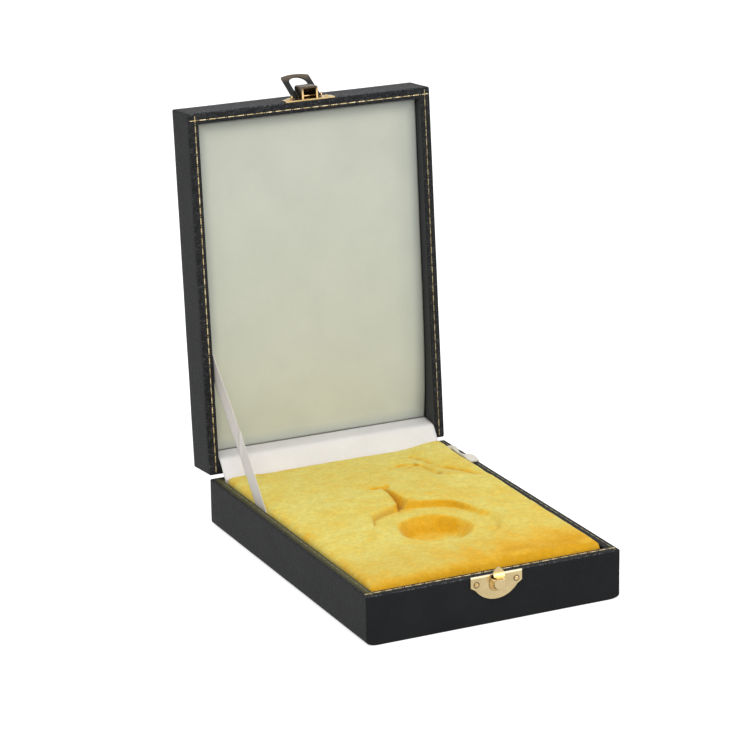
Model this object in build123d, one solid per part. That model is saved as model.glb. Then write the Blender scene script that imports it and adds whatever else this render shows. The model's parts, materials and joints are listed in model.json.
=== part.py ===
"""Hinged presentation case for one medal, open, with a velvet insert and a gilt brass clasp.

Frame: millimetres, X to the right along the front, Y to the back, Z up.
The origin is the centre of the underside. The lid is built closed and then opened about the hinge.
"""
import os
from math import cos, radians, sin, sqrt

from build123d import *

# Overall sizes
case_width = 112.0
case_length = 155.5
base_height = 20.75
lid_depth = 18.1
rim_gap = 0.4
open_angle = 94.3

# Wooden walls and boards
wall_thick = 3.7
floor_thick = 2.0
top_thick = 2.0

# Leatherette, its turned-in edges and the lining sheet below
cover_thick = 0.5
turn_down = 10.0
turn_under = 9.0
lining_thick = 0.4
lining_margin = 1.6
corner_radius = 1.2
end_edge_run = 0.9
end_edge_rise = 0.9
end_edge_bow = 0.2
edge_lead_share = 0.2
floor_edge_run = 5.0
floor_edge_rise = 2.2
floor_edge_bow = 0.8
lid_edge_run = 1.8
lid_edge_rise = 1.4
lid_edge_bow = 0.4

# Insert
insert_side_gap = 0.75
insert_board_thick = 1.5
velvet_thick = 0.8
insert_crown = 4.5
insert_side_rise = 1.2
insert_shoulder = 3.2
insert_end_rise = 2.6
insert_end_run = 9.0
insert_corner = 4.5
insert_draw = 0.2
recess_setback = 52.0
recess_depth = 2.1
recess_corner = 2.2
hole_radius = 13.6
hole_depth = 8.0
hole_edge = 1.2
recess_half_width = 26.5
slot_reach = 51.0
slot_mouth = 5.2
slot_throat = 1.7
slot_end = 2.0
slot_depth = 1.2

# Lid pad
pad_side_gap = 0.75
pad_front_depth = 4.0
pad_hinge_depth = 9.0
pad_crown = 0.8
pad_card_thick = 1.5
satin_thick = 0.5
pad_edge = 1.2

# Hidden strip hinge
hinge_length = 84.0
hinge_setback = 0.35
hinge_rise = 1.0
knuckle_radius = 0.9
knuckle_count = 7
knuckle_gap = 0.2
hinge_pin_radius = 0.45
pin_clearance = 0.05
leaf_thick = 0.4
leaf_height = 8.0
leaf_jog_far = 1.4
leaf_jog_near = 0.6
hinge_rebate_gap = 0.4
hinge_end_gap = 0.3
hinge_nail_radius = 0.6
hinge_nail_length = 3.2
hinge_nail_drop = 5.0
nail_clearance = 0.02

# Satin strip over the hinge and the two stay ribbons
strip_thick = 0.3
strip_clearance = 0.15
strip_side_gap = 0.5
strip_tail = 7.0
ribbon_thick = 0.3
ribbon_width = 8.4
ribbon_wall_gap = 0.2
ribbon_rim_setback = 113.2
ribbon_slope = 45.0
ribbon_base_tail = 8.0
ribbon_tuck = 10.0
loose_setback = 120.3
loose_run = 23.0
loose_sink = 5.0
loose_lift = 0.5
loose_reach = 1.4

# Clasp plates, boss and guide tongue
plate_thick = 0.6
plate_half_width = 11.3
plate_height = 10.4
ear_height = 4.4
ear_step = 2.1
ear_slope = 1.3
boss_base_radius = 3.5
boss_face_radius = 2.5
boss_reach = 4.0
boss_skin = 0.5
boss_base_drop = 3.75
boss_face_drop = 3.05
boss_top_drop = 1.55
tongue_thick = 0.5
tongue_foot_drop = 4.1
tongue_bend_drop = 0.7
tongue_fold_rise = 0.75
tongue_tip_rise = 3.55
tongue_lean = 0.9
tongue_tip_lean = 0.2
tongue_stem_half = 1.5
tongue_leaf_half = 2.4
tongue_leaf_low = 0.5
tongue_leaf_high = 1.2
clasp_nail_offset = 8.8
clasp_nail_drop = 3.35
clasp_nail_radius = 0.5
clasp_nail_head = 1.1
clasp_nail_dome = 0.55
clasp_nail_length = 4.0

# Keeper box, its pin and the bail
box_half_width = 3.7
box_height = 5.3
box_mouth_inset = 0.3
box_length = 8.2
box_skin = 0.8
box_edge = 0.7
box_back_edge = 1.4
bail_pin_radius = 0.45
bail_pin_head = 0.75
bail_pin_head_thick = 0.5
bail_pivot_height = 1.4
bail_pivot_inset = 4.6
bail_rest_angle = 32.0
bail_thick = 0.8
bail_half_width = 6.5
bail_window_half = 3.95
bail_corner_reach = 13.1
bail_crest_reach = 14.3
bail_window_reach = 12.6
bail_eye_radius = 0.75
bail_end_gap = 0.1
bail_corner_radius = 0.5

# One overrun serves every cut
overrun = 5.0

# Derived places
half_width = case_width / 2
half_length = case_length / 2
front_y = -half_length
back_y = half_length
rim_width = wall_thick + 2 * cover_thick
inner_half_width = half_width - rim_width
inner_half_length = half_length - rim_width
wood_half_width = half_width - cover_thick - wall_thick
wood_half_length = half_length - cover_thick - wall_thick
cover_floor = lining_thick
wood_floor = lining_thick + cover_thick
floor_top = wood_floor + floor_thick
lid_rim = base_height + rim_gap
lid_top = lid_rim + lid_depth
top_board_low = lid_top - cover_thick - top_thick
hinge_y = back_y + hinge_setback
hinge_z = base_height + hinge_rise
hinge_line = Axis((0, hinge_y, hinge_z), (1, 0, 0))
recess_y = front_y + recess_setback
recess_floor = base_height + insert_crown - recess_depth
hole_floor = recess_floor - hole_depth
insert_low = floor_top + insert_board_thick
insert_half_width = inner_half_width - insert_side_gap
insert_half_length = inner_half_length - insert_side_gap
pad_half_width = inner_half_width - pad_side_gap
pad_half_length = inner_half_length - pad_side_gap
card_low = top_board_low - pad_card_thick
bail_pivot_y = front_y - bail_pivot_height
bail_pivot_z = lid_rim + bail_pivot_inset

# The insert's sections from front to back: place along its length, height at the centre
# as a share of the crown and height at the sides as a share of the side rise
insert_section_shares = (
    (0.0, 0.50, 0.60),
    (0.33, 0.96, 1.0),
    (0.62, 0.90, 1.0),
    (1.0, 0.36, 0.60),
)

# Corners of the shallow recess on its right half, as shares of its half width, from back to front
recess_corner_shares = (
    (0.19, 1.06),
    (0.71, 0.78),
    (0.74, 0.55),
    (1.0, 0.0),
    (0.66, -0.76),
    (0.20, -1.02),
)

# Right half of the ribbon slot from the recess to its far end, as shares of the slot's reach
slot_place_shares = (0.40, 0.67, 0.88, 1.0)

# The slack ribbon seen from above: places along its run and across the rim, from front to back
slack_ribbon_shares = (
    (0.00, 0.62),
    (0.02, 1.0),
    (0.30, 0.94),
    (0.40, 0.30),
    (0.66, 0.26),
    (0.76, 0.62),
    (0.97, 0.55),
    (1.00, -0.30),
    (0.00, -0.30),
)


def span_box(xs, ys, zs):
    """A box given by its lowest and highest place on each axis."""
    centre = Pos((xs[0] + xs[1]) / 2, (ys[0] + ys[1]) / 2, (zs[0] + zs[1]) / 2)
    return centre * Box(xs[1] - xs[0], ys[1] - ys[0], zs[1] - zs[0])


def centred_box(half_x, half_y, zs):
    """A box centred on the case's middle line."""
    return span_box((-half_x, half_x), (-half_y, half_y), zs)


def bowed(start, end, bow):
    """An arc from start to end that stands out by bow to the right of its direction."""
    run = (end[0] - start[0], end[1] - start[1])
    chord = sqrt(run[0] ** 2 + run[1] ** 2)
    middle = ((start[0] + end[0]) / 2 + run[1] / chord * bow, (start[1] + end[1]) / 2 - run[0] / chord * bow)
    return ThreePointArc(start, middle, end)


def closed_face(*pieces):
    """A face inside lines and arcs that follow each other."""
    return make_face([edge for piece in pieces for edge in piece.edges()])


def extrude_x(face, low, high):
    """Extrude a face drawn as (y, z) between two places on X."""
    placed = Pos(low, 0, 0) * (Plane.YZ * face)
    return extrude(placed, amount=high - low, dir=(1, 0, 0))


def extrude_y(face, low, high):
    """Extrude a face drawn as (x, z) between two places on Y."""
    placed = Pos(0, low, 0) * (Plane.XZ * face)
    return extrude(placed, amount=high - low, dir=(0, 1, 0))


def rod_x(radius, xs, y, z):
    """A round rod along X."""
    return Pos((xs[0] + xs[1]) / 2, y, z) * Rot(0, 90, 0) * Cylinder(radius, xs[1] - xs[0])


def rod_y(radius, ys, x, z):
    """A round rod along Y."""
    return Pos(x, (ys[0] + ys[1]) / 2, z) * Rot(90, 0, 0) * Cylinder(radius, ys[1] - ys[0])


def opened(shape):
    """Turn a lid piece from closed to open about the hinge."""
    return shape.rotate(hinge_line, -open_angle)


def eased_profile(half, depth, run, rise, bow):
    """A profile with eased low edges, wider than its block so that the arcs cross the block's sides."""
    wide = half + run * edge_lead_share
    high = rise * (1 + edge_lead_share)
    return closed_face(
        Polyline((wide, high), (wide, depth), (-wide, depth), (-wide, high)),
        bowed((-wide, high), (-half + run, 0), bow),
        Line((-half + run, 0), (half - run, 0)),
        bowed((half - run, 0), (wide, high), bow),
    )


def soft_edged_block(inset, depth, run, rise, bow):
    """A block as wide and long as the case less an inset, from z = 0 up to depth, low edges eased."""
    half_x = half_width - inset
    half_y = half_length - inset
    above = depth + overrun
    sides = eased_profile(half_x, above, run, rise, bow)
    ends = eased_profile(half_y, above, end_edge_run, end_edge_rise, end_edge_bow)
    plan = extrude(RectangleRounded(2 * half_x, 2 * half_y, corner_radius - inset), amount=depth)
    return plan & extrude_y(sides, -half_length, half_length) & extrude_x(ends, -half_width, half_width)


def base_block(inset):
    """The base's outer form, or the wood inside it."""
    low = cover_floor + inset
    block = soft_edged_block(
        inset, base_height - inset - low, floor_edge_run, floor_edge_rise, floor_edge_bow
    )
    return Pos(0, 0, low) * block


def lid_block(inset):
    """The closed lid's outer form, or the wood inside it."""
    low = lid_rim + inset
    high = lid_top - inset
    block = soft_edged_block(inset, high - low, lid_edge_run, lid_edge_rise, lid_edge_bow)
    return Pos(0, 0, high) * Rot(0, 180, 0) * block


def mitred_walls(ring, zs):
    """Cut a ring of wood along its mitres into front, back, left and right walls."""
    reach = wood_half_width / 2
    outer_x = half_width
    outer_y = half_length
    inner_x = outer_x - reach
    inner_y = outer_y - reach
    plans = {
        "front": ((-outer_x, -outer_y), (outer_x, -outer_y), (inner_x, -inner_y), (-inner_x, -inner_y)),
        "back": ((-outer_x, outer_y), (outer_x, outer_y), (inner_x, inner_y), (-inner_x, inner_y)),
        "left": ((-outer_x, -outer_y), (-outer_x, outer_y), (-inner_x, inner_y), (-inner_x, -inner_y)),
        "right": ((outer_x, -outer_y), (outer_x, outer_y), (inner_x, inner_y), (inner_x, -inner_y)),
    }
    walls = {}
    for side, corners in plans.items():
        prism = extrude(make_face(Polyline(*corners, close=True)), amount=zs[1] - zs[0])
        walls[side] = ring & (Pos(0, 0, zs[0]) * prism)
    return walls


def nail_holes(radius, places, ys):
    """Round cuts along Y at each (x, z)."""
    return [rod_y(radius, ys, x, z) for x, z in places]


def clasp_nail_places(direction):
    """The two nails of a clasp plate, below the rim on the base and above it on the lid."""
    edge = base_height if direction < 0 else lid_rim
    z = edge + direction * clasp_nail_drop
    return [(-clasp_nail_offset, z), (clasp_nail_offset, z)]


def clasp_nail():
    """A round-headed nail with the underside of its head at the origin, pointing along Y."""
    cap_radius = (clasp_nail_head ** 2 + clasp_nail_dome ** 2) / (2 * clasp_nail_dome)
    ball = Pos(0, cap_radius - clasp_nail_dome, 0) * Sphere(cap_radius)
    cap = ball & rod_y(clasp_nail_head, (-clasp_nail_dome, 0), 0, 0)
    return cap + rod_y(clasp_nail_radius, (0, clasp_nail_length), 0, 0)


def clasp_nails(direction):
    """Two round-headed nails through a clasp plate."""
    nail = clasp_nail()
    seat = front_y - plate_thick
    return [Pos(x, seat, z) * nail for x, z in clasp_nail_places(direction)]


def hinge_nail_places(direction):
    """Four nails of a hinge leaf, on the base or on the closed lid."""
    z = hinge_z + direction * (hinge_rise + hinge_nail_drop)
    pitch = hinge_length / 4
    return [((place - 1.5) * pitch, z) for place in range(4)]


def hinge_nails(direction):
    """Flush nails that hold a hinge leaf to its wall."""
    high = back_y - cover_thick
    ys = (high - hinge_nail_length, high)
    return [rod_y(hinge_nail_radius, ys, x, z) for x, z in hinge_nail_places(direction)]


def hinge_cuts(direction):
    """What the hinge takes out of a back wall: the leaf's bed and the rebate for the barrel."""
    half = hinge_length / 2 + hinge_end_gap
    far = hinge_z + direction * (hinge_rise + leaf_height)
    near = hinge_z + direction * (hinge_rise + leaf_jog_far + hinge_end_gap)
    away = hinge_z - direction * overrun
    bed_y = (back_y - cover_thick - leaf_thick, back_y - cover_thick)
    bed = span_box((-half, half), bed_y, (min(far, away), max(far, away)))
    barrel_y = hinge_y - knuckle_radius - hinge_rebate_gap
    rebate_z = (min(near, away), max(near, away))
    rebate = span_box((-half, half), (barrel_y, back_y + overrun), rebate_z)
    holes = nail_holes(
        hinge_nail_radius + nail_clearance,
        hinge_nail_places(direction),
        (back_y - cover_thick - leaf_thick - hinge_nail_length, back_y - cover_thick),
    )
    return bed, rebate, holes


def base_walls():
    """Four mitred walls of the base."""
    ring = base_block(cover_thick) - centred_box(
        wood_half_width, wood_half_length, (0, base_height + overrun)
    )
    bed, rebate, holes = hinge_cuts(-1)
    ring = ring - bed - rebate - holes
    shank = clasp_nail_radius + nail_clearance
    reach = (front_y - overrun, front_y - plate_thick + clasp_nail_length)
    ring = ring - nail_holes(shank, clasp_nail_places(-1), reach)
    return mitred_walls(ring, (0, base_height + overrun))


def lid_walls():
    """Four mitred walls of the closed lid."""
    ring = lid_block(cover_thick) - centred_box(
        wood_half_width, wood_half_length, (0, lid_top + overrun)
    )
    bed, rebate, holes = hinge_cuts(1)
    ring = ring - bed - rebate - holes
    shank = clasp_nail_radius + nail_clearance
    reach = (front_y - overrun, front_y - plate_thick + clasp_nail_length)
    ring = ring - nail_holes(shank, clasp_nail_places(1), reach)
    return mitred_walls(ring, (base_height, lid_top + overrun))


def rim_cover(outer, inner, turned_in, mouth, direction):
    """A leatherette skin over a wooden ring, turned in at the rim and cut out for the hinge and nails."""
    bed, rebate, holes = hinge_cuts(direction)
    reach = (front_y - overrun, front_y + wall_thick)
    shanks = nail_holes(clasp_nail_radius + nail_clearance, clasp_nail_places(direction), reach)
    return (outer - inner + turned_in) - mouth - rebate - shanks


def base_cover():
    """Leatherette round the base: outside, over the rim, down inside and turned under the floor."""
    turned_in = centred_box(wood_half_width, wood_half_length, (base_height - turn_down, base_height))
    mouth = centred_box(inner_half_width, inner_half_length, (floor_top, base_height + overrun))
    under = centred_box(half_width - turn_under, half_length - turn_under, (0, floor_top))
    return rim_cover(base_block(0), base_block(cover_thick), turned_in, mouth, -1) - under


def lid_cover():
    """Leatherette round the closed lid: top, sides, over the rim and down inside."""
    turned_in = centred_box(wood_half_width, wood_half_length, (lid_rim, lid_rim + turn_down))
    mouth = centred_box(inner_half_width, inner_half_length, (base_height, lid_rim + turn_down))
    return rim_cover(lid_block(0), lid_block(cover_thick), turned_in, mouth, 1)


def base_floor():
    """The floor board, set between the walls."""
    return centred_box(wood_half_width, wood_half_length, (wood_floor, floor_top))


def lid_panel():
    """The lid's panel, set between its walls."""
    return centred_box(wood_half_width, wood_half_length, (top_board_low, lid_top - cover_thick))


def underside_lining():
    """The lining sheet on the underside."""
    half_x = half_width - floor_edge_run
    half_y = half_length - lining_margin
    return extrude(RectangleRounded(2 * half_x, 2 * half_y, corner_radius), amount=lining_thick)


def insert_section(skin, centre_share, side_share):
    """One cross section of the padded insert: drawn-in sides, rounded shoulders and a crowned top."""
    half = insert_half_width - insert_draw - skin
    foot = half + insert_draw / 2
    centre = base_height + insert_crown * centre_share - skin
    side = base_height + insert_side_rise * side_share - skin
    turn = half - insert_shoulder
    low = side - insert_shoulder
    return closed_face(
        Polyline((-half, low), (-foot, insert_low), (foot, insert_low), (half, low)),
        RadiusArc((half, low), (turn, side), -insert_shoulder),
        ThreePointArc((turn, side), (0, centre), (-turn, side)),
        RadiusArc((-turn, side), (-half, low), -insert_shoulder),
    )


def insert_ends(skin):
    """Side view of the insert as (y, z): drawn-in ends that round over into the well."""
    half = insert_half_length - insert_draw - skin
    foot = half + insert_draw / 2
    high = base_height + insert_end_rise - skin
    low = high - insert_shoulder - insert_end_rise
    turn = half - insert_end_run
    top = base_height + 2 * insert_crown
    middle_share = sin(radians(45))
    middle_y = turn + insert_end_run * middle_share
    middle_z = low + (high - low) * middle_share
    return closed_face(
        Polyline((-turn, top), (-turn, high)),
        ThreePointArc((-turn, high), (-middle_y, middle_z), (-half, low)),
        Polyline((-half, low), (-foot, insert_low), (foot, insert_low), (half, low)),
        ThreePointArc((half, low), (middle_y, middle_z), (turn, high)),
        Polyline((turn, high), (turn, top), (-turn, top)),
    )


def insert_block(skin):
    """The padded insert's form, or the same less its skin."""
    half = insert_half_length - skin
    loft_half = half + overrun
    sections = []
    for place, centre_share, side_share in insert_section_shares:
        face = insert_section(skin, centre_share, side_share)
        sections.append(Pos(0, -loft_half + 2 * loft_half * place, 0) * (Plane.XZ * face))
    plan = RectangleRounded(2 * (insert_half_width - skin), 2 * half, insert_corner - skin)
    plan = Pos(0, 0, insert_low) * extrude(plan, amount=2 * base_height)
    return loft(sections) & extrude_x(insert_ends(skin), -half_width, half_width) & plan


def insert_recess(grow):
    """The medal's recess: a shallow outline, a deep round hole and the ribbon's slot."""
    high = base_height + insert_crown + overrun
    floor = recess_floor - grow
    right = [(recess_half_width * a, recess_half_width * b) for a, b in recess_corner_shares]
    left = [(-a, b) for a, b in reversed(right)]
    outline = fillet(make_face(Polyline(*right, *left, close=True)).vertices(), recess_corner)
    widths = (slot_mouth, slot_throat, slot_throat, slot_end)
    far_side = [(width, slot_reach * share) for width, share in zip(widths, slot_place_shares)]
    near_side = [(-x, y) for x, y in reversed(far_side)]
    slot = make_face(Polyline(*far_side, *near_side, close=True))
    if grow:
        outline = offset(outline, amount=grow)
        slot = offset(slot, amount=grow)
    place = Pos(0, recess_y, 0)
    shallow = place * Pos(0, 0, floor) * extrude(outline, amount=high - floor)
    slot_floor = floor - slot_depth
    channel = place * Pos(0, 0, slot_floor) * extrude(slot, amount=high - slot_floor)
    low = hole_floor - grow
    hole = place * Pos(0, 0, (low + high) / 2) * Cylinder(hole_radius + grow, high - low)
    lip = place * Pos(0, 0, floor - hole_edge / 2) * Cone(hole_radius + grow, hole_radius + grow + hole_edge, hole_edge)
    return [shallow, channel, hole, lip]


def insert_foam():
    """The padding under the velvet."""
    return insert_block(velvet_thick) - insert_recess(velvet_thick)


def insert_velvet(foam):
    """The velvet skin over the padding, which also lines the recess."""
    return insert_block(0) - insert_recess(0) - foam


def insert_board():
    """Stiff card under the padding."""
    return centred_box(insert_half_width, insert_half_length, (floor_top, insert_low))


def pad_section(inset, front_depth):
    """A cross section of the lid's pad: flat against the card, crowned towards the rim."""
    half = pad_half_width - inset
    face = lid_rim + front_depth + inset
    edge = face + pad_crown
    return closed_face(
        Polyline((half, edge), (half, card_low), (-half, card_low), (-half, edge)),
        ThreePointArc((-half, edge), (0, face), (half, edge)),
    )


def pad_block(inset):
    """The lid's pad, thinner towards the hinge."""
    half = pad_half_length - inset
    front = Pos(0, -half, 0) * (Plane.XZ * pad_section(inset, pad_front_depth))
    back = Pos(0, half, 0) * (Plane.XZ * pad_section(inset, pad_hinge_depth))
    return loft([front, back])


def lid_pad_pieces():
    """Card, wadding and satin of the closed lid's pad."""
    card = centred_box(pad_half_width, pad_half_length, (card_low, top_board_low))
    wadding = pad_block(satin_thick)
    satin = pad_block(0) - wadding
    return card, wadding, satin


def hinge_leaf(direction, own_knuckles):
    """One leaf of the strip hinge with its knuckles, on the base or on the closed lid."""
    plate_y = (back_y - cover_thick - leaf_thick, back_y - cover_thick)
    tab_y = (hinge_y - knuckle_radius, hinge_y - knuckle_radius + leaf_thick)
    reach = hinge_rise + leaf_height
    jog_far = hinge_rise + leaf_jog_far
    jog_near = hinge_rise + leaf_jog_near
    half = hinge_length / 2
    plate_z = (hinge_z + direction * reach, hinge_z + direction * jog_far)
    leaf = span_box((-half, half), plate_y, (min(plate_z), max(plate_z)))
    tab = make_face(
        Polyline(
            (plate_y[0], hinge_z + direction * jog_far),
            (plate_y[1], hinge_z + direction * jog_far),
            (tab_y[1], hinge_z + direction * jog_near),
            (tab_y[1], hinge_z),
            (tab_y[0], hinge_z),
            (tab_y[0], hinge_z + direction * jog_near),
            close=True,
        )
    )
    pitch = hinge_length / knuckle_count
    for place in own_knuckles:
        low = -half + place * pitch + knuckle_gap / 2
        high = low + pitch - knuckle_gap
        leaf = leaf + extrude_x(tab, low, high) + rod_x(knuckle_radius, (low, high), hinge_y, hinge_z)
    bore = rod_x(hinge_pin_radius + pin_clearance, (-half - overrun, half + overrun), hinge_y, hinge_z)
    holes = nail_holes(
        hinge_nail_radius + nail_clearance,
        hinge_nail_places(direction),
        (plate_y[0] - overrun, plate_y[1] + overrun),
    )
    return leaf - bore - holes


def hinge_pin():
    """The pin through all the knuckles."""
    return rod_x(hinge_pin_radius, (-hinge_length / 2, hinge_length / 2), hinge_y, hinge_z)


def opened_point(y, z):
    """Where a point of the closed lid, given as (y, z), lies with the lid open."""
    turn = radians(-open_angle)
    dy = y - hinge_y
    dz = z - hinge_z
    return (hinge_y + dy * cos(turn) - dz * sin(turn), hinge_z + dy * sin(turn) + dz * cos(turn))


def thick_line(points, thick):
    """A face along a run of (y, z) points, thick to the left of its direction."""
    lefts = []
    for start, end in zip(points, points[1:]):
        run = (end[0] - start[0], end[1] - start[1])
        chord = sqrt(run[0] ** 2 + run[1] ** 2)
        lefts.append((-run[1] / chord, run[0] / chord))
    shifted = []
    for index, point in enumerate(points):
        before = lefts[max(index - 1, 0)]
        after = lefts[min(index, len(lefts) - 1)]
        scale = thick / (1 + before[0] * after[0] + before[1] * after[1])
        shifted.append((point[0] + (before[0] + after[0]) * scale, point[1] + (before[1] + after[1]) * scale))
    return make_face(Polyline(*points, *reversed(shifted), close=True))


def hinge_strip():
    """Satin strip over the hinge, from the lid's inner wall across both rims into the base."""
    inner_y = back_y - rim_width - strip_clearance
    pad_low = lid_rim + pad_hinge_depth
    lid_far = opened_point(inner_y, pad_low)
    lid_near = opened_point(inner_y, lid_rim)
    points = (lid_far, lid_near, (inner_y, base_height), (inner_y, base_height - strip_tail))
    face = thick_line(points, -strip_thick)
    strip_half = inner_half_width - strip_side_gap
    return extrude_x(face, -strip_half, strip_half)


def depth_in_lid(y, z):
    """How far a point (y, z) lies inside the open lid, measured from the lid's rim."""
    turn = radians(open_angle)
    return hinge_z + (y - hinge_y) * sin(turn) + (z - hinge_z) * cos(turn) - lid_rim


def stay_ribbon():
    """The taut stay on the left, a flat tape standing beside the walls."""
    low_x = -inner_half_width + ribbon_wall_gap
    slope = radians(ribbon_slope)
    along = (cos(slope), sin(slope))
    across = (-sin(slope), cos(slope))
    middle = (front_y + ribbon_rim_setback, base_height)
    half = ribbon_width / 2
    start_depth = depth_in_lid(*middle)
    depth_per_length = depth_in_lid(middle[0] + along[0], middle[1] + along[1]) - start_depth
    ends = (-ribbon_base_tail, (ribbon_tuck - start_depth) / depth_per_length)
    corners = []
    for reach, side in ((ends[0], -half), (ends[1], -half), (ends[1], half), (ends[0], half)):
        corners.append(
            (middle[0] + along[0] * reach + across[0] * side, middle[1] + along[1] * reach + across[1] * side)
        )
    return extrude_x(make_face(Polyline(*corners, close=True)), low_x, low_x + ribbon_thick)


def slack_ribbon():
    """The slack stay on the right: it comes up beside the insert and lies folded over the rim."""
    start_y = front_y + loose_setback
    inner_x = inner_half_width - ribbon_wall_gap - ribbon_thick
    over_x = half_width + loose_reach
    high = base_height + loose_lift
    rising = span_box(
        (inner_x, inner_x + ribbon_thick), (start_y, start_y + loose_run), (base_height - loose_sink, high)
    )
    lying = span_box((inner_x, over_x), (start_y, start_y + loose_run), (high - ribbon_thick, high))
    plan = [
        (inner_half_width + (over_x - inner_half_width) * side, start_y + loose_run * run)
        for run, side in slack_ribbon_shares
    ]
    outline = make_face(Polyline(*plan, close=True))
    return (rising + lying) & extrude(Pos(0, 0, floor_top) * outline, amount=base_height)


def plate_outline(direction):
    """Half-moon outline of a clasp plate as (x, z), its straight edge on the rim."""
    edge = base_height if direction < 0 else lid_rim
    ear = edge + direction * ear_height
    step = edge + direction * (ear_height + ear_slope)
    inner = plate_half_width - ear_step
    low = edge + direction * plate_height
    return closed_face(
        Polyline((-inner, step), (-plate_half_width, ear), (-plate_half_width, edge)),
        Line((-plate_half_width, edge), (plate_half_width, edge)),
        Polyline((plate_half_width, edge), (plate_half_width, ear), (inner, step)),
        ThreePointArc((inner, step), (0, low), (-inner, step)),
    )


def catch_plate():
    """The base's clasp plate with its pressed boss, which is open at the top."""
    outer = front_y - plate_thick
    plate = extrude_y(plate_outline(-1), outer, front_y)
    base_z = base_height - boss_base_drop
    face_z = base_height - boss_face_drop
    face_y = front_y - boss_reach
    boss = boss_form(0, outer, face_y, base_z, face_z)
    hollow = boss_form(boss_skin, front_y, face_y + boss_skin, base_z, face_z)
    top = base_height - boss_top_drop
    open_top = span_box(
        (-boss_base_radius, boss_base_radius), (face_y - overrun, outer), (top, base_height + overrun)
    )
    shank = clasp_nail_radius + nail_clearance
    holes = nail_holes(shank, clasp_nail_places(-1), (front_y - overrun, front_y + overrun))
    return plate + (boss - open_top) - hollow - holes


def boss_form(skin, back, face, base_z, face_z):
    """The boss as a loft from its foot on the plate to its smaller face."""
    foot = Pos(0, back, base_z) * (Plane.XZ * Circle(boss_base_radius - skin))
    tip = Pos(0, face, face_z) * (Plane.XZ * Circle(boss_face_radius - skin))
    return loft([foot, tip])


def guide_tongue():
    """Leaf-shaped tongue that stands up out of the boss and guides the keeper."""
    out = front_y - boss_reach + boss_skin
    foot = base_height - tongue_foot_drop
    bend = base_height - tongue_bend_drop
    fold = base_height + tongue_fold_rise
    tip = base_height + tongue_tip_rise
    points = (
        (out, foot),
        (out, bend),
        (out + tongue_lean, fold),
        (out + tongue_lean + tongue_tip_lean, tip),
    )
    strip = extrude_x(thick_line(points, -tongue_thick), -tongue_leaf_half, tongue_leaf_half)
    low = base_height - tongue_leaf_low
    high = base_height + tongue_leaf_high
    outline = closed_face(
        Polyline(
            (-tongue_leaf_half, high),
            (-tongue_leaf_half, low),
            (-tongue_stem_half, bend),
            (-tongue_stem_half, foot),
            (tongue_stem_half, foot),
            (tongue_stem_half, bend),
            (tongue_leaf_half, low),
            (tongue_leaf_half, high),
        ),
        bowed((tongue_leaf_half, high), (0, tip), tongue_tip_lean),
        bowed((0, tip), (-tongue_leaf_half, high), tongue_tip_lean),
    )
    return strip & extrude_y(outline, front_y - boss_reach, front_y)


def keeper_plate():
    """The closed lid's clasp plate."""
    outer = front_y - plate_thick
    shank = clasp_nail_radius + nail_clearance
    holes = nail_holes(shank, clasp_nail_places(1), (front_y - overrun, front_y + overrun))
    return extrude_y(plate_outline(1), outer, front_y) - holes


def keeper_box():
    """The bridge on the lid's plate, open towards the rim, that takes the guide tongue."""
    seat = front_y - plate_thick
    crown = seat - box_height
    low = lid_rim + box_mouth_inset
    high = low + box_length
    outer = span_box((-box_half_width, box_half_width), (crown, seat), (low, high))
    outer = fillet(outer.edges().filter_by(Axis.X).group_by(Axis.Y)[0].sort_by(Axis.Z)[-1], box_back_edge)
    outer = fillet(outer.edges().filter_by(Axis.Z).group_by(Axis.Y)[0], box_edge)
    inner_half = box_half_width - box_skin
    hollow = span_box((-inner_half, inner_half), (crown + box_skin, seat), (low - overrun, high - box_skin))
    return outer - hollow - pin_rod(bail_pin_radius + nail_clearance, bail_half_width)


def pin_rod(radius, reach):
    """A rod on the bail's pivot line."""
    return rod_x(radius, (-reach, reach), bail_pivot_y, bail_pivot_z)


def bail_pin():
    """The pin through the keeper box that carries the bail, with a head at each end."""
    shoulder = bail_half_width + bail_end_gap
    end = shoulder + bail_pin_head_thick
    pin = pin_rod(bail_pin_radius, shoulder)
    for xs in ((-end, -shoulder), (shoulder, end)):
        pin = pin + rod_x(bail_pin_head, xs, bail_pivot_y, bail_pivot_z)
    return pin


def bail():
    """The hinged loop, drawn flat as (x, reach) and leant back as it rests."""
    half = bail_half_width
    window_centre = bail_window_reach - bail_window_half
    outline = closed_face(
        Polyline((-half, bail_corner_reach), (-half, 0), (half, 0), (half, bail_corner_reach)),
        ThreePointArc((half, bail_corner_reach), (0, bail_crest_reach), (-half, bail_corner_reach)),
    )
    window = closed_face(
        Polyline(
            (-bail_window_half, window_centre),
            (-bail_window_half, -overrun),
            (bail_window_half, -overrun),
            (bail_window_half, window_centre),
        ),
        ThreePointArc(
            (bail_window_half, window_centre), (0, bail_window_reach), (-bail_window_half, window_centre)
        ),
    )
    loop = extrude(outline - window, amount=bail_thick / 2, both=True)
    for xs in ((-half, -bail_window_half), (bail_window_half, half)):
        loop = loop + rod_x(bail_eye_radius, xs, 0, 0)
    loop = loop - rod_x(bail_pin_radius + pin_clearance, (-half - overrun, half + overrun), 0, 0)
    corners = loop.edges().filter_by(Axis.Z).group_by(Axis.Y)[-1]
    loop = fillet(corners, bail_corner_radius)
    return Pos(0, bail_pivot_y, bail_pivot_z) * Rot(90 + bail_rest_angle, 0, 0) * loop


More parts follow.
